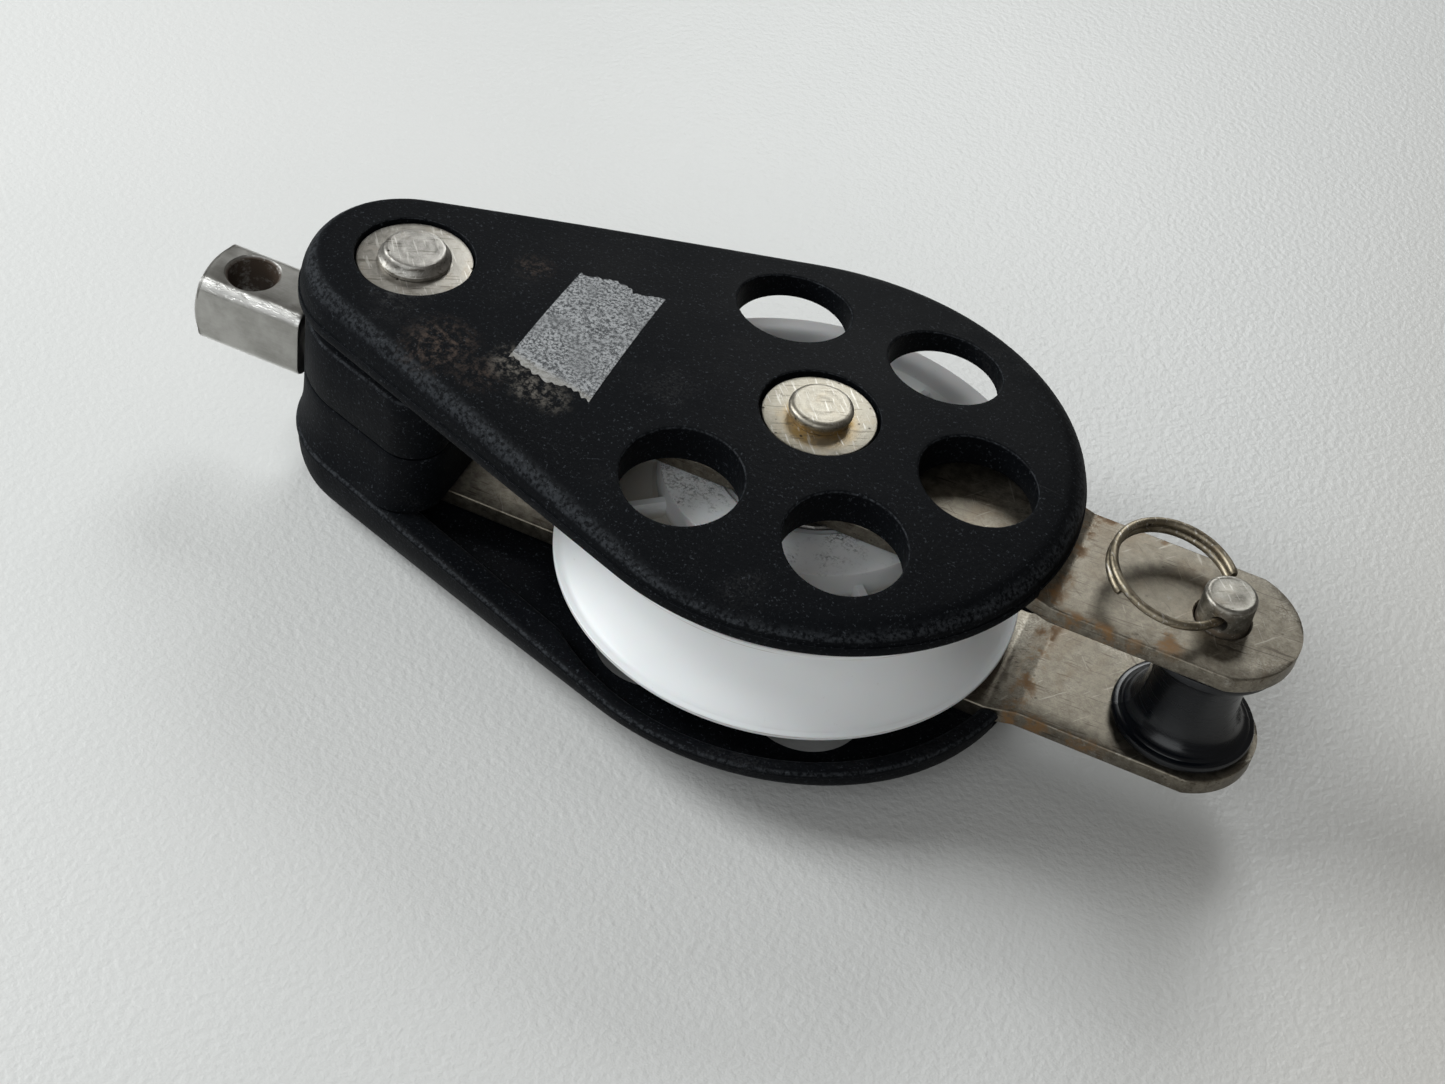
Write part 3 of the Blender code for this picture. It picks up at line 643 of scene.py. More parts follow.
def strap(name, side):
    """A section with eased corners, as wide as the outline at each station, carried along X."""
    tip_angle = math.asin(STRAP_HALF / TIP_RADIUS)
    tail_angle = math.asin(STRAP_HALF / TAIL_RADIUS)
    tail = HEAD_X - TAIL_RADIUS * np.cos(np.linspace(0.02, tail_angle, 30))
    tip = BECKET_X + TIP_RADIUS * np.cos(np.linspace(tip_angle, 0.02, 40))
    bend = np.linspace(STEP_X[0] - 0.6, STEP_X[1] + 0.6, 26)
    inner = np.linspace(tail[-1], bend[0], 40)[1:-1]
    outer = np.linspace(bend[-1], tip[0], 14)[1:-1]
    x = np.concatenate([tail, inner, bend, outer, tip])
    width = np.full_like(x, STRAP_HALF)
    ahead = np.maximum(x - BECKET_X, 0)
    behind = np.maximum(HEAD_X - x, 0)
    width = np.minimum(width, np.sqrt(np.maximum(TIP_RADIUS**2 - ahead**2, 1e-4)))
    width = np.minimum(width, np.sqrt(np.maximum(TAIL_RADIUS**2 - behind**2, 1e-4)))
    run = np.clip((x - STEP_X[0]) / (STEP_X[1] - STEP_X[0]), -0.12, 1.12)
    soft = 0.06
    ease = np.where(run < soft, np.maximum(run + soft, 0) ** 2 / (4 * soft), run)
    ease = np.where(run > 1 - soft, 1 - np.maximum(1 + soft - run, 0) ** 2 / (4 * soft), ease)
    level = STRAP_LEVEL - STRAP_DROP * ease
    half = STRAP_THICK / 2
    rows = []
    for station, reach, middle in zip(x, width, level):
        edge = min(0.35, 0.7 * reach)
        sweep = np.linspace(0, np.pi / 2, 5)
        corner_y = reach - edge + edge * np.cos(sweep)
        corner_z = half - edge + edge * np.sin(sweep)
        across = np.linspace(1, -1, 9)[1:-1] * (reach - edge)
        y = np.concatenate([corner_y, across, -corner_y[::-1]])
        z = np.concatenate([corner_z, np.full(7, half), corner_z[::-1]])
        y = np.concatenate([y, y[::-1]])
        z = np.concatenate([z, -z[::-1]])
        rows.append(points(station, y, side * (z + middle)))
    body = skin(name, rows)
    cutters = []
    for i, (place, radius) in enumerate(((0.0, 4.3), (HEAD_X, 4.3), (BECKET_X, 4.35))):
        lip = 0.25
        drop = STRAP_DROP if place == BECKET_X else 0.0
        faces = (STRAP_LEVEL - drop - half, STRAP_LEVEL - drop + half)
        profile = [(radius + lip + 1, faces[0] - 1), (radius, faces[0] + lip)]
        profile += [(radius, faces[1] - lip), (radius + lip + 1, faces[1] + 1)]
        profile = [(r, side * z) for r, z in profile]
        cutters.append(spun(f"strap_hole_{i}", profile, (place, 0.0), 64))
    return carve(body, cutters)


def stain_group():
    """Shader group: brown water stains as a mask, patchy, with small dark pits in them."""
    put_out = {"Stain": "Float", "Pits": "Float"}
    given, spot = new_group("water_stains", put_out, Patch_Scale=60.0, Low=0.5, High=0.75)
    place = spot["Object"]
    cloud = noise(place, given["Patch Scale"], 7.0, 0.68, 0.4)
    stain = ramp(cloud, given["Low"], given["High"])
    near, chance = cells(place, 700.0, 0.10, 0.22)
    pit = times(near, ramp(chance["Green"], 0.84, 0.90))
    add("NodeGroupOutput", {"Stain": stain, "Pits": pit})
    return tree


water_stains = stain_group()


def strap_finish():
    """Dull stainless: brushed, mottled, scratched, rusty at the bend, scuffed and pitted."""
    made, place = finish_of("stained_strap", metallic=1.0)
    streaks = noise(drawn(place, (1, 26, 26)), 140.0, 3.0)
    mottle = noise(place, 620.0, 9.0, 0.8)
    colour = tint(ramp(mottle, 0.36, 0.66), (0.105, 0.090, 0.068), (0.240, 0.215, 0.172))
    colour = tint(times(streaks, 0.15), colour, (0.38, 0.36, 0.31))
    scratched = use_group(scuffs, Patch_Scale=60.0, Scratch_Scale=160.0, Amount=0.6)["Mask"]
    colour = tint(scratched, colour, (0.42, 0.40, 0.35))
    for turn, wide, low, tone, share in (
        (0.04, 2300.0, 0.63, (0.075, 0.062, 0.048), 0.75),
        (0.9, 1900.0, 0.67, (0.44, 0.42, 0.37), 0.4),
        (-0.75, 2100.0, 0.66, (0.085, 0.072, 0.055), 0.6),
        (2.1, 1700.0, 0.68, (0.44, 0.42, 0.37), 0.4),
    ):
        laid = drawn(place, (14, 1, 1), turn, "TEXTURE")
        line = ramp(noise(laid, wide, 2.0, 0.5, 0.25), low, low + 0.05)
        colour = tint(times(line, share), colour, tone)
    worn = use_group(water_stains, Patch_Scale=75.0, Low=0.52, High=0.74)
    brown = times(worn["Stain"], 0.22)
    spot = axes(place)
    off_bend = calc("ABSOLUTE", calc("SUBTRACT", spot["X"], 42.6 * MM))
    bend = ramp(off_bend, 0.7 * MM, 2.6 * MM, 1.0, 0.0)
    beside = calc("ABSOLUTE", spot["Y"])
    rim = ramp(beside, (STRAP_HALF - 1.8) * MM, (STRAP_HALF - 0.4) * MM)
    rim = times(rim, ramp(spot["X"], 40 * MM, 44 * MM))
    rim = times(rim, ramp(spot["X"], 60 * MM, 54 * MM))
    near_ring = around(place, point(60.5, -9.4, 13.2), 0.6 * MM, 3.5 * MM)
    rust = calc("MAXIMUM", bend, calc("MAXIMUM", rim, near_ring))
    rough_edge = ramp(noise(place, 300.0, 6.0, 0.75), 0.45, 0.62)
    rust = times(rust, rough_edge)
    brown = calc("MAXIMUM", brown, times(rust, 0.95))
    colour = tint(brown, colour, (0.20, 0.105, 0.035))
    white = ramp(noise(place, 210.0, 8.0, 0.85), 0.60, 0.68)
    colour = tint(times(white, 0.5), colour, (0.36, 0.35, 0.32))
    colour = tint(times(worn["Pits"], 0.7), colour, (0.08, 0.07, 0.055))
    matt = calc("MAXIMUM", brown, times(white, 0.5))
    metal = ramp(matt, 0.0, 1.0, 0.95, 0.25)
    rough = ramp(mottle, 0.25, 0.75, 0.34, 0.50)
    rough = calc("ADD", rough, times(matt, 0.25), clamp=True)
    height = calc("SUBTRACT", mottle, times(worn["Pits"], 0.6))
    height = calc("ADD", height, times(streaks, 0.3))
    bent = dent(height, 0.45, 0.07 * MM)
    return wire(made, Base_Color=colour, Metallic=metal, Roughness=rough, Normal=bent)


strap_steel = strap_finish()
for where, side in SIDES:
    piece = strap(f"{where}_strap_strip", side)
    dress(piece, strap_steel, "block_frame", "stainless_strap", f"{where}_strap")


# ---- Rivets and washers ----
# Stainless bar pins whose ends are upset over flat washers in the cheeks' seats. The axle's
# washers have taken a golden-brown stain; the head pin's end is coned; its one dent is not
# modelled.
SHANK = 4.0
WASHER_TOP = 22.0
WASHER_THICK = 1.2
REST_LEVEL = 24.4
BROWN = (0.30, 0.19, 0.075)


def upset_end(radius, shape):
    """Rows of one end, from the centre of its top out and down to the shank.

    Shape gives share of the radius and depth below the top. The top has shallow rings.
    """
    share = np.linspace(0.02, shape[0][0] / radius - 0.02, 22)
    rings = 0.012 * np.sin(share * 21) * np.exp(-((share - 0.5) ** 2) * 6)
    rows = [(s * radius, REST_LEVEL - 0.04 + r) for s, r in zip(share, rings)]
    return rows + [(r, REST_LEVEL - d) for r, d in shape]


AXLE_END = [(4.05, 0.04), (4.45, 0.10), (4.75, 0.26), (4.93, 0.5), (5.0, 0.8), (4.97, 1.1)]
AXLE_END += [(4.85, 1.4), (4.7, 1.7), (4.6, 2.3), (SHANK, 2.36)]
PIN_END = [(4.35, 0.04), (4.7, 0.12), (4.9, 0.32), (5.0, 0.6), (5.15, 0.95), (5.35, 1.25)]
PIN_END += [(5.6, 1.5), (5.75, 1.68), (5.78, 1.95), (5.7, 2.3), (SHANK, 2.36)]


def rivet(name, x, radius, shape, lopsided):
    """Both ends' rows joined by the shank, each row a little out of round."""
    turn = lap(96)
    wobble = 1 + lopsided * (np.sin(2 * turn + 0.7) + 0.5 * np.sin(5 * turn + 2.1))
    upper = upset_end(radius, shape)
    profile = []
    for r, z in upper:
        profile.append((r * (1 + (wobble - 1) * min(r / radius, 1)), z))
    profile += [(r, -z) for r, z in reversed(upper)]
    return spun(name, profile, (x, 0.0))


def washer(name, x, radius, level, thick=WASHER_THICK, bore=4.25):
    """A flat ring with eased edges between two levels of its own side."""
    half = thick / 2
    ease = 0.18
    profile = [(bore, half - ease), (bore + ease, half), (radius - 1.6 * ease, half)]
    profile += [(radius - 0.5 * ease, half - 0.3 * ease), (radius, half - 1.3 * ease)]
    profile += [(radius, -half + ease), (radius - ease, -half), (bore + ease, -half)]
    profile += [(bore, -half + ease), (bore, half - ease)]
    return spun(name, profile, (x, 0.0), 128, height=level, capped=False)


def steel_finish(name, light, dark, stain=BROWN, stained=0.3, centre=None, reach=5.5):
    """Satin stainless: a slow mottle, scratches, pits, and a stain that may ring a foot."""
    made, place = finish_of(name, metallic=1.0)
    mottle = noise(place, 330.0, 8.0, 0.75)
    colour = tint(ramp(mottle, 0.36, 0.64), dark, light)
    worn = use_group(water_stains, Patch_Scale=170.0, Low=0.50, High=0.72)
    brown = times(worn["Stain"], stained)
    if centre is not None:
        near = around(place, centre, reach * MM, 2.4 * MM)
        spot = axes(place)
        over = centre[2] + 0.7 * MM
        low = ramp(spot["Z"], over, over + 0.6 * MM, 1.0, 0.0)
        near = times(near, low)
        blotch = noise(place, 330.0, 4.0, 0.7)
        near = times(near, ramp(blotch, 0.35, 0.65, 0.3, 1.0))
        brown = calc("MAXIMUM", brown, near)
    colour = tint(brown, colour, stain)
    for turn, tone in ((0.5, (0.09, 0.075, 0.055)), (-0.9, (0.60, 0.58, 0.54))):
        laid = drawn(place, (10, 1, 1), turn, "TEXTURE")
        line = ramp(noise(laid, 2400.0, 2.0, 0.5, 0.3), 0.60, 0.66)
        colour = tint(times(line, 0.55), colour, tone)
    colour = tint(worn["Pits"], colour, (0.05, 0.04, 0.03))
    metal = ramp(brown, 0.0, 1.0, 0.95, 0.6)
    rough = ramp(mottle, 0.25, 0.75, 0.36, 0.50)
    fine = noise(drawn(place, (9, 1, 9)), 900.0, 2.0)
    height = calc("ADD", mottle, times(fine, 0.4))
    bent = dent(height, 0.55, 0.08 * MM)
    return wire(made, Base_Color=colour, Metallic=metal, Roughness=rough, Normal=bent)


PALE = (0.46, 0.45, 0.43)
DULL = (0.28, 0.27, 0.25)
GOLD = (0.34, 0.215, 0.06)
axle_steel = steel_finish(
    "axle_steel", (0.42, 0.39, 0.33), (0.25, 0.23, 0.19), GOLD, 0.15, point(0, 0, WASHER_TOP), 5.2
)
pin_steel = steel_finish("head_pin_steel", (0.44, 0.42, 0.39), (0.26, 0.25, 0.23), stained=0.15)
gold_foot = {"stain": GOLD, "centre": point(0.6, -1.4, WASHER_TOP), "reach": 4.4}
axle_washer_steel = steel_finish(
    "axle_washer_steel", (0.36, 0.335, 0.28), (0.23, 0.21, 0.17), stained=0.25, **gold_foot
)
head_washer_steel = steel_finish(
    "head_washer_steel", (0.37, 0.35, 0.315), (0.24, 0.225, 0.20), stained=0.2
)
dress(rivet("axle_rivet", 0.0, 5.0, AXLE_END, 0.006), axle_steel, "block_frame",
      "stainless_pin", "main_axle")
dress(rivet("head_rivet", HEAD_X, 5.78, PIN_END, 0.008), pin_steel, "block_frame",
      "stainless_pin", "head_pin")
for label, x, radius, steel in (
    ("axle", 0.0, 8.9, axle_washer_steel),
    ("head", HEAD_X, 9.2, head_washer_steel),
):
    for where, side in SIDES:
        level = side * (WASHER_TOP - WASHER_THICK / 2)
        piece = washer(f"{label}_washer_{where}_disc", x, radius, level)
        dress(piece, steel, "block_frame", "stainless_washer", f"{label}_washer_{where}")


# ---- Sheave ----
# A wide wheel machined and moulded in white acetal: a shallow rope groove between thin rims,
# a ribbed recess on each face and a raised hub disc round the bearing.
SHEAVE_RADIUS = 37.8
RIM_HALF = 9.5
HUB_RADIUS = 23.2
HUB_HALF = 11.2
RECESS_OUT = 31.6
RECESS_FLOOR = 5.6
RIB_COUNT = 12


def sheave_section():
    """Half the section, from the groove's middle over the rim, recess and hub to the bore."""
    level = np.linspace(0, 8.3, 22)
    groove = list(zip(SHEAVE_RADIUS - 5.0 + 4.2 * (level / 8.6) ** 2.6, level))
    lip = [(0.55, 8.42), (0.16, 8.5), (0.04, 8.62), (0, 8.8), (0, 9.12), (0.12, 9.36)]
    lip = [(SHEAVE_RADIUS - drop, z) for drop, z in (*lip, (0.38, RIM_HALF))]
    wall = [(0.35, 0), (0.1, 0.1), (0, 0.35)]
    wall = [(RECESS_OUT + out, RIM_HALF - down) for out, down in wall]
    floor = [(RECESS_OUT - 0.35, 0.7), (RECESS_OUT - 1, 0), (HUB_RADIUS + 0.5, 0)]
    floor = [(r, RECESS_FLOOR + up) for r, up in (*floor, (HUB_RADIUS - 0.1, 0.6))]
    hub = [(HUB_RADIUS, 0.5), (HUB_RADIUS - 0.12, 0.14), (HUB_RADIUS - 0.45, 0), (14.7, 0)]
    hub = [(r, HUB_HALF - down) for r, down in (*hub, (14.35, 0.25))]
    return groove + lip + wall + floor + hub + [(14.3, 9.3), (11.65, 9.3)]


def sheave_body():
    """The section mirrored and spun, with radial ribs joined in each recess."""
    half = sheave_section()
    section = half[::-1] + [(r, -z) for r, z in half[1:]]
    section.append(section[0])
    body = spun("sheave_wheel", section, count=240, capped=False)
    ribs = []
    for side in (1, -1):
        for i in range(RIB_COUNT):
            middle = 2 * np.pi * (i + 0.4) / RIB_COUNT
            out = np.array([math.cos(middle), math.sin(middle)])
            wide = np.array([-out[1], out[0]])
            rows = []
            for level, half_wide in ((RECESS_FLOOR - 1.0, 1.0), (8.2, 0.8), (8.6, 0.55)):
                far, near = (RECESS_OUT + 0.8) * out, (HUB_RADIUS - 0.8) * out
                step = half_wide * wide
                corners = [near - step, far - step, far + step, near + step]
                rows.append(np.column_stack([corners, np.full(4, side * level)]))
            ribs.append(skin(f"rib_{side}_{i}", rows))
    return carve(body, ribs, "UNION")


def acetal_finish():
    """White acetal: brown turning lines at the rims, fine dirt and speckled grime."""
    made, place = finish_of(
        "white_acetal", roughness=0.4, Subsurface_Weight=0.12, Subsurface_Scale=2 * MM
    )
    slow = noise(place, 28.0, 3.0)
    colour = tint(slow, (0.78, 0.795, 0.805), (0.83, 0.84, 0.85))
    spot = axes(place)
    flat = {"X": spot["X"], "Y": spot["Y"]}
    plan = add("CombineXYZ", flat).outputs["Vector"]
    radius = add("VectorMath", {0: plan}, operation="LENGTH").outputs["Value"]
    level = calc("ABSOLUTE", calc("SUBTRACT", spot["Z"], middle_z))
    in_groove = ramp(radius, (SHEAVE_RADIUS - 1.2) * MM, SHEAVE_RADIUS * MM)
    line = 0.0
    for height in (8.3 * MM, 8.8 * MM):
        off = calc("ABSOLUTE", calc("SUBTRACT", level, height))
        line = calc("MAXIMUM", line, ramp(off, 0.04 * MM, 0.11 * MM, 1.0, 0.0))
    dashes = ramp(noise(place, 160.0, 4.0), 0.32, 0.62)
    line = times(times(line, dashes), in_groove)
    colour = tint(times(line, 0.6), colour, (0.34, 0.29, 0.25))
    dirt = ramp(noise(place, 620.0, 5.0, 0.8), 0.64, 0.72)
    colour = tint(times(dirt, 0.35), colour, (0.50, 0.46, 0.40))
    face = ramp(radius, 24.0 * MM, 23.0 * MM)
    face = times(face, ramp(level, 10.6 * MM, 11.0 * MM))
    patch = ramp(noise(place, 75.0, 6.0, 0.75), 0.46, 0.62)
    specks = ramp(noise(place, 2200.0, 4.0, 0.75), 0.46, 0.58)
    grime = times(times(patch, specks), face)
    colour = tint(times(grime, 0.85), colour, (0.07, 0.07, 0.07))
    recess = ramp(level, 7.5 * MM, 5.8 * MM)
    recess = times(recess, ramp(radius, 31.9 * MM, 31.5 * MM))
    colour = tint(times(recess, 0.75), colour, (0.50, 0.46, 0.39))
    fine = noise(place, 500.0, 2.0)
    rough = ramp(slow, 0.3, 0.7, 0.36, 0.48)
    return wire(made, Base_Color=colour, Roughness=rough, Normal=dent(fine, 0.12, 0.05 * MM))


white = acetal_finish()
dress(sheave_body(), white, "sheave", "white_acetal", "sheave")


# ---- Bearing ----
# Hidden inside the hub: ten resin rollers run on a stainless sleeve round the axle, between
# white retainers that turn with the sheave and thin steel thrust washers on the straps.
def resin_finish():
    """Amber resin: turned rings across each roller and a satin surface."""
    made, place = finish_of("roller_resin", roughness=0.35)
    slow = noise(place, 260.0, 3.0)
    colour = tint(slow, (0.24, 0.18, 0.075), (0.34, 0.26, 0.12))
    fine = noise(drawn(place, (1, 1, 40)), 120.0, 2.0)
    return wire(made, Base_Color=colour, Normal=dent(fine, 0.2, 0.03 * MM))


bearing_steel = steel_finish("bearing_steel", PALE, DULL, stained=0.1)
resin = resin_finish()
for name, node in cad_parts.items():
    if not name.startswith(("bearing", "thrust")):
        continue
    look = white if "retainer" in name else resin if "roller" in name else bearing_steel
    node.data.materials.clear()
    node.data.materials.append(look)


# ---- Swivel post ----
# A square stainless bar with planed corners, a domed end and a cross eye for a shackle pin.
# Its turned neck and button are trapped between the head block's halves, so it swivels.
POST_HALF = 6.55
POST_FLAT = 4.97
POST_END = -106.5
POST_SHOULDER = -85.9
EYE_X = -98.0
EYE_RADIUS = 4.2


def post_body():
    """Radius of a chamfered square round the bar's axis, shrunk over the domed end and neck."""
    turn = lap(192) + np.pi / 192
    quarter = np.mod(turn, np.pi / 2)
    folded = np.minimum(quarter, np.pi / 2 - quarter)
    flat = POST_HALF / np.cos(folded)
    corner = (POST_HALF + POST_FLAT) / np.sqrt(2) / np.cos(np.pi / 4 - folded)
    blend = 18.0
    square = (flat**-blend + corner**-blend) ** (-1 / blend)
    square *= POST_HALF / square.min()

    def row(x, scale=1.0, ring=None):
        reach = square * scale if ring is None else np.full_like(turn, ring)
        return points(x, reach * np.cos(turn), reach * np.sin(turn))

    dome = 17.0
    rows = []
    for scale in np.linspace(0.02, 0.93, 26):
        sag = dome - np.sqrt(dome**2 - (square * scale) ** 2)
        rows.append(row(POST_END + sag, scale))
    sag = dome - np.sqrt(dome**2 - square**2)
    for share in np.linspace(0.15, 1, 7):
        scale = 0.93 + 0.07 * math.sin(share * math.pi / 2)
        rows.append(row(POST_END + sag + 0.55 * (share**2.2) - 0.12, scale))
    start = -104.6
    rows += [row(x) for x in np.linspace(start, POST_SHOULDER - 0.3, 30)]
    rows += [row(POST_SHOULDER - 0.08, 0.985), row(POST_SHOULDER, 0.96)]
    neck = [(POST_SHOULDER, 4.9), (-85.5, 4.5), (-81.0, 4.5), (-81.0, 6.1), (-80.7, 6.4)]
    neck += [(-77.7, 6.4), (-77.4, 6.1), (-77.4, 0.2)]
    rows += [row(x, ring=r) for x, r in neck]
    body = skin("post_bar", rows)
    lip = 0.55
    mouth = [(0, POST_HALF - lip), (lip, POST_HALF), (lip + 1.5, POST_HALF + 1.5)]
    profile = [(EYE_RADIUS + r, -z) for r, z in mouth[::-1]]
    profile += [(EYE_RADIUS + r, z) for r, z in mouth]
    return carve(body, [spun("eye", profile, (EYE_X, 0.0))])


def post_finish():
    """Satin stainless: bright nicked corners, grey flats, brown rust inside the eye."""
    made, place = finish_of("post_steel", metallic=1.0)
    streaks = noise(drawn(place, (1, 18, 18)), 190.0, 4.0, 0.6)
    mottle = noise(place, 150.0, 5.0, 0.65)
    colour = tint(ramp(mottle, 0.3, 0.7), (0.24, 0.235, 0.215), (0.40, 0.39, 0.37))
    colour = tint(times(streaks, 0.3), colour, (0.50, 0.49, 0.47))
    normal = add("TexCoord").outputs["Normal"]
    side = axes(normal)
    both = times(side["Y"], side["Z"])
    corner = ramp(calc("ABSOLUTE", both), 0.25, 0.45)
    colour = tint(times(corner, 0.7), colour, (0.72, 0.71, 0.69))
    spot = axes(place)
    flat = {"X": spot["X"], "Y": spot["Y"], "Z": middle_z}
    plan = add("CombineXYZ", flat).outputs["Vector"]
    bore = around(plan, point(EYE_X, 0), (EYE_RADIUS + 0.1) * MM, 0.5 * MM)
    blotch = noise(place, 420.0, 5.0, 0.7)
    rust = times(bore, ramp(blotch, 0.25, 0.50))
    colour = tint(rust, colour, (0.050, 0.032, 0.020))
    rough = ramp(mottle, 0.25, 0.75, 0.27, 0.42)
    rough = calc("ADD", rough, times(rust, 0.35), clamp=True)
    metal = ramp(rust, 0.0, 1.0, 0.97, 0.2)
    hammered = ramp(noise(drawn(place, (1, 5, 5)), 330.0, 3.0), 0.52, 0.64)
    hammered = times(hammered, corner)
    height = calc("SUBTRACT", times(streaks, 0.3), hammered)
    bent = dent(height, 0.5, 0.12 * MM)
    return wire(made, Base_Color=colour, Metallic=metal, Roughness=rough, Normal=bent)


dress(post_body(), post_finish(), "swivel_post", "stainless_pin", "swivel_post")


# ---- Becket pin ----
# A headed stainless clevis pin through both straps. Its head is under the lower strap, and
# a cross hole near its top takes the split ring that keeps it in.
PIN_RADIUS = 4.1
PIN_TOP = 18.5
RING_HOLE_LEVEL = 15.5
RING_TURN = math.radians(176)
RING_TILT = math.radians(9)


def ring_axes():
    """Level directions across the ring's hole and along it."""
    cosine, sine = math.cos(RING_TURN), math.sin(RING_TURN)
    return np.array([cosine, sine, 0.0]), np.array([-sine, cosine, 0.0])


def becket_pin_body():
    """A turned pin with a rounded top edge, and the ring's hole bored across it."""
    sweep = np.linspace(0, np.pi / 2, 7)
    edge = 0.75
    lower = -13.4
    profile = [(r, PIN_TOP + 0.05 * math.cos(r * 1.3)) for r in np.linspace(0.1, 3.2, 10)]
    out, down = edge * (1 - np.sin(sweep)), edge * (1 - np.cos(sweep))
    profile += list(zip(PIN_RADIUS - out, PIN_TOP - down))
    profile += [(PIN_RADIUS, lower), (5.9, lower), (6.15, lower - 0.25), (6.2, lower - 1.6)]
    profile += [(6.0, lower - 2.0), (5.6, lower - 2.25), (0.1, lower - 2.25)]
    body = spun("becket_pin_turned", profile, (BECKET_X, 0.0), 80)
    wide, along = ring_axes()
    up = np.array([0.0, 0.0, 1.0])
    turn = lap(40)[:, None]
    rows = []
    flare = [(-6.0, 3.0), (-4.25, 1.45), (-3.8, 1.3), (3.8, 1.3), (4.25, 1.45), (6.0, 3.0)]
    for reach, radius in flare:
        centre = np.array([BECKET_X, 0, RING_HOLE_LEVEL]) + reach * along
        rows.append(centre + radius * (np.cos(turn) * wide + np.sin(turn) * up))
    return carve(body, [skin("ring_bore", rows)])


becket_steel = steel_finish("becket_pin_steel", (0.36, 0.345, 0.31), (0.19, 0.18, 0.155),
                            (0.16, 0.10, 0.05), 0.3, point(BECKET_X, 0, 13.2), 3.2)
dress(becket_pin_body(), becket_steel, "becket_pin", "stainless_pin", "becket_pin")


# ---- Split ring ----
# Hard stainless spring wire wound one and a half times, threaded through the becket pin's
# hole. Its two ends are cut square on opposite sides of the coil.
COIL_RADIUS = 9.6
COIL_PITCH = 1.45
COIL_PAST = 0.38
WIRE_RADIUS = 0.7
COIL_SPAN = (-235.0, 325.0)


def split_ring_body():
    """A circle carried along a helix: radius square to the wire's path at each station."""
    turn = np.radians(np.linspace(*COIL_SPAN, 300))[:, None]
    wide, along = ring_axes()
    out = math.cos(RING_TILT) * wide + np.array([0, 0, math.sin(RING_TILT)])
    up = np.cross(out, along)
    centre = np.array([BECKET_X, 0, RING_HOLE_LEVEL]) + (COIL_RADIUS - COIL_PAST) * out
    radial = -np.cos(turn) * out + np.sin(turn) * along
    path = centre + COIL_RADIUS * radial + COIL_PITCH * turn / (2 * np.pi) * up
    section = lap(20)
    reach = np.full(len(turn), WIRE_RADIUS)
    reach[[0, -1]] *= 0.72
    reach[[1, -2]] *= 0.93
    offset = (
        np.cos(section)[None, :, None] * radial[:, None, :]
        + np.sin(section)[None, :, None] * up
    )
    rows = path[:, None, :] + reach[:, None, None] * offset
    return skin("split_ring_wire", rows)


wire_steel = steel_finish("spring_wire", (0.33, 0.285, 0.21), (0.16, 0.135, 0.095),
                          (0.22, 0.13, 0.06), 0.5)
dress(split_ring_body(), wire_steel, "split_ring", "spring_steel", "split_ring")


# ---- Becket spool ----
# A black hourglass roller that turns on the becket pin and spreads the rope's eye. It is
# moulded in two dies, whose seam runs up each side, and polished by use.
SPOOL_TOP = 9.95
SPOOL_FLANGE = 11.3
SPOOL_WAIST = 7.3
SPOOL_BORE = 4.4


def spool_body():
    """Quarter-ellipse waist between stepped flanges, spun, with a raised seam on two sides."""
    step = [(1, 0), (0.45, 0.12), (0.12, 0.42), (0, 0.85), (0, 1.35), (0.12, 1.6), (0.4, 1.75)]
    step = [(SPOOL_FLANGE - r, SPOOL_TOP - z) for r, z in (*step, (0.9, 1.82), (1.05, 1.95))]
    half = [(SPOOL_BORE + 0.3, SPOOL_TOP), *step]
    start = SPOOL_TOP - 2.1
    for a in np.linspace(0.06, math.pi / 2, 22):
        reach = SPOOL_FLANGE - 1.1 - SPOOL_WAIST
        half.append((SPOOL_WAIST + reach * (1 - math.sin(a)) ** 1.1, start * math.cos(a)))
    profile = [(SPOOL_BORE, SPOOL_TOP - 0.3)] + half + [(r, -z) for r, z in reversed(half[:-1])]
    profile += [(SPOOL_BORE, -SPOOL_TOP + 0.3), (SPOOL_BORE, SPOOL_TOP - 0.3)]
    seam = 0.09 * np.exp(-((np.sin(lap(240) - math.radians(201)) / 0.025) ** 2))
    profile = [(r + (seam if r > SPOOL_BORE + 1 else 0), z) for r, z in profile]
    return spun("spool_hourglass", profile, (BECKET_X, 0.0), 240, capped=False)


def spool_finish():
    """Polished black: nearly mirror-smooth, with rope haze round the waist."""
    made, place = finish_of("polished_black", roughness=0.16, Specular_IOR_Level=0.4)
    haze = noise(place, 120.0, 4.0, 0.6)
    colour = tint(haze, (0.0010, 0.0016, 0.0030), (0.0040, 0.0055, 0.0085))
    fine = noise(drawn(place, (1, 1, 14)), 160.0, 3.0)
    rough = ramp(fine, 0.3, 0.7, 0.14, 0.30)
    return wire(made, Base_Color=colour, Roughness=rough, Normal=dent(fine, 0.05, 0.05 * MM))


dress(spool_body(), spool_finish(), "becket_spool", "spool_black", "becket_spool")


# ---- Label remnant ----
# What is left of a paper label on the upper cheek: the printed face is gone, and a grey
# fibrous backing clings to the crown, straight down its long sides and torn at its ends.
LABEL_CORNERS = ((-45.1, 10.6), (-31.0, 11.3), (-31.2, -15.9), (-45.9, -13.7))


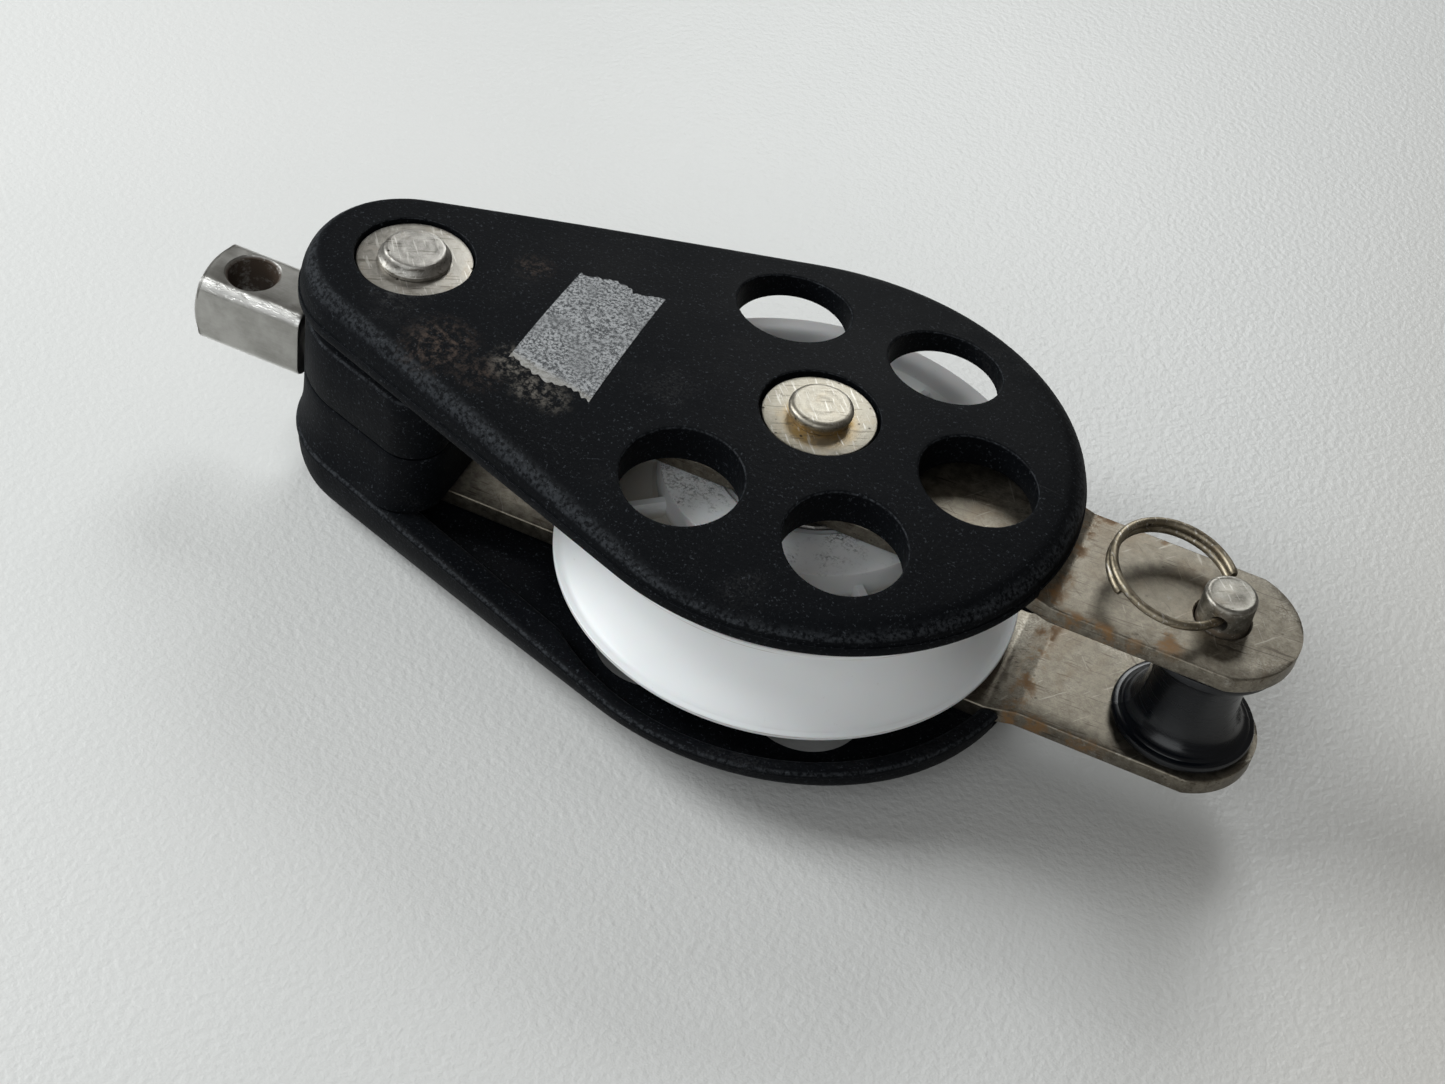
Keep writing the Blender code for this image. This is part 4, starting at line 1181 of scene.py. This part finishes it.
def label_body():
    """Bilinear patch of the four corners laid on the crown, with ragged short sides."""
    columns, lines = 90, 140
    u = np.linspace(0, 1, columns)[None, :]
    v = np.linspace(0, 1, lines)[:, None]
    jag = np.random.default_rng(5).normal(size=(2, columns))
    kernel = np.hanning(9) / np.hanning(9).sum()
    ragged = np.array([np.convolve(j, kernel, "same") for j in jag]) * 0.022
    wave = 0.016 * np.sin(u[0] * 9 + 1)
    v = (ragged[0] + wave) * (1 - v) + v * (1 + ragged[1] - wave)
    far_left, far_right, near_right, near_left = np.array(LABEL_CORNERS)
    far = far_left[:, None, None] * (1 - u) + far_right[:, None, None] * u
    near = near_left[:, None, None] * (1 - u) + near_right[:, None, None] * u
    x, y = far * (1 - v) + near * v
    lift = 0.05 + 0.015 * np.sin(x * 1.7) * np.sin(y * 1.3)
    top = points(x, y, crown(x, y) + lift)
    under = top.copy()
    under[..., 2] -= 0.045 + lift
    index = np.arange(columns * lines).reshape(lines, columns)
    quads = np.stack([index[:-1, :-1], index[:-1, 1:], index[1:, 1:], index[1:, :-1]], -1)
    quads = quads.reshape(-1, 4)
    border = np.concatenate([index[0], index[1:, -1], index[-1, -2::-1], index[-2:0:-1, 0]])
    nxt = np.roll(border, -1)
    shift = columns * lines
    hem = np.stack([border, border + shift, nxt + shift, nxt], -1)
    faces = np.concatenate([quads, quads[:, ::-1] + shift, hem])
    corners = np.concatenate([top.reshape(-1, 3), under.reshape(-1, 3)]) * MM
    corners[:, 2] += middle_z
    mesh = bpy.data.meshes.new("label_remnant")
    mesh.from_pydata(corners, [], faces.tolist())
    return settle("label_remnant", mesh)


def paper_finish():
    """Grey paper fibre: a fine nap with dark flecks where the black shows through."""
    made, place = finish_of("label_paper", roughness=0.85)
    nap = noise(place, 2100.0, 4.0, 0.75)
    slow = noise(place, 150.0, 4.0, 0.6)
    colour = tint(ramp(nap, 0.40, 0.60), (0.030, 0.033, 0.037), (0.40, 0.41, 0.42))
    colour = tint(ramp(slow, 0.35, 0.95), colour, (0.15, 0.155, 0.16))
    spot = axes(place)
    edge = calc("MULTIPLY_ADD", spot["X"], 0.2, spot["Y"])
    torn = ramp(edge, -20.6 * MM, -22.0 * MM)
    colour = tint(times(torn, 0.55), colour, (0.34, 0.325, 0.29))
    return wire(made, Base_Color=colour, Normal=dent(nap, 0.5, 0.06 * MM))


dress(label_body(), paper_finish(), "block_frame", "black_moulding")
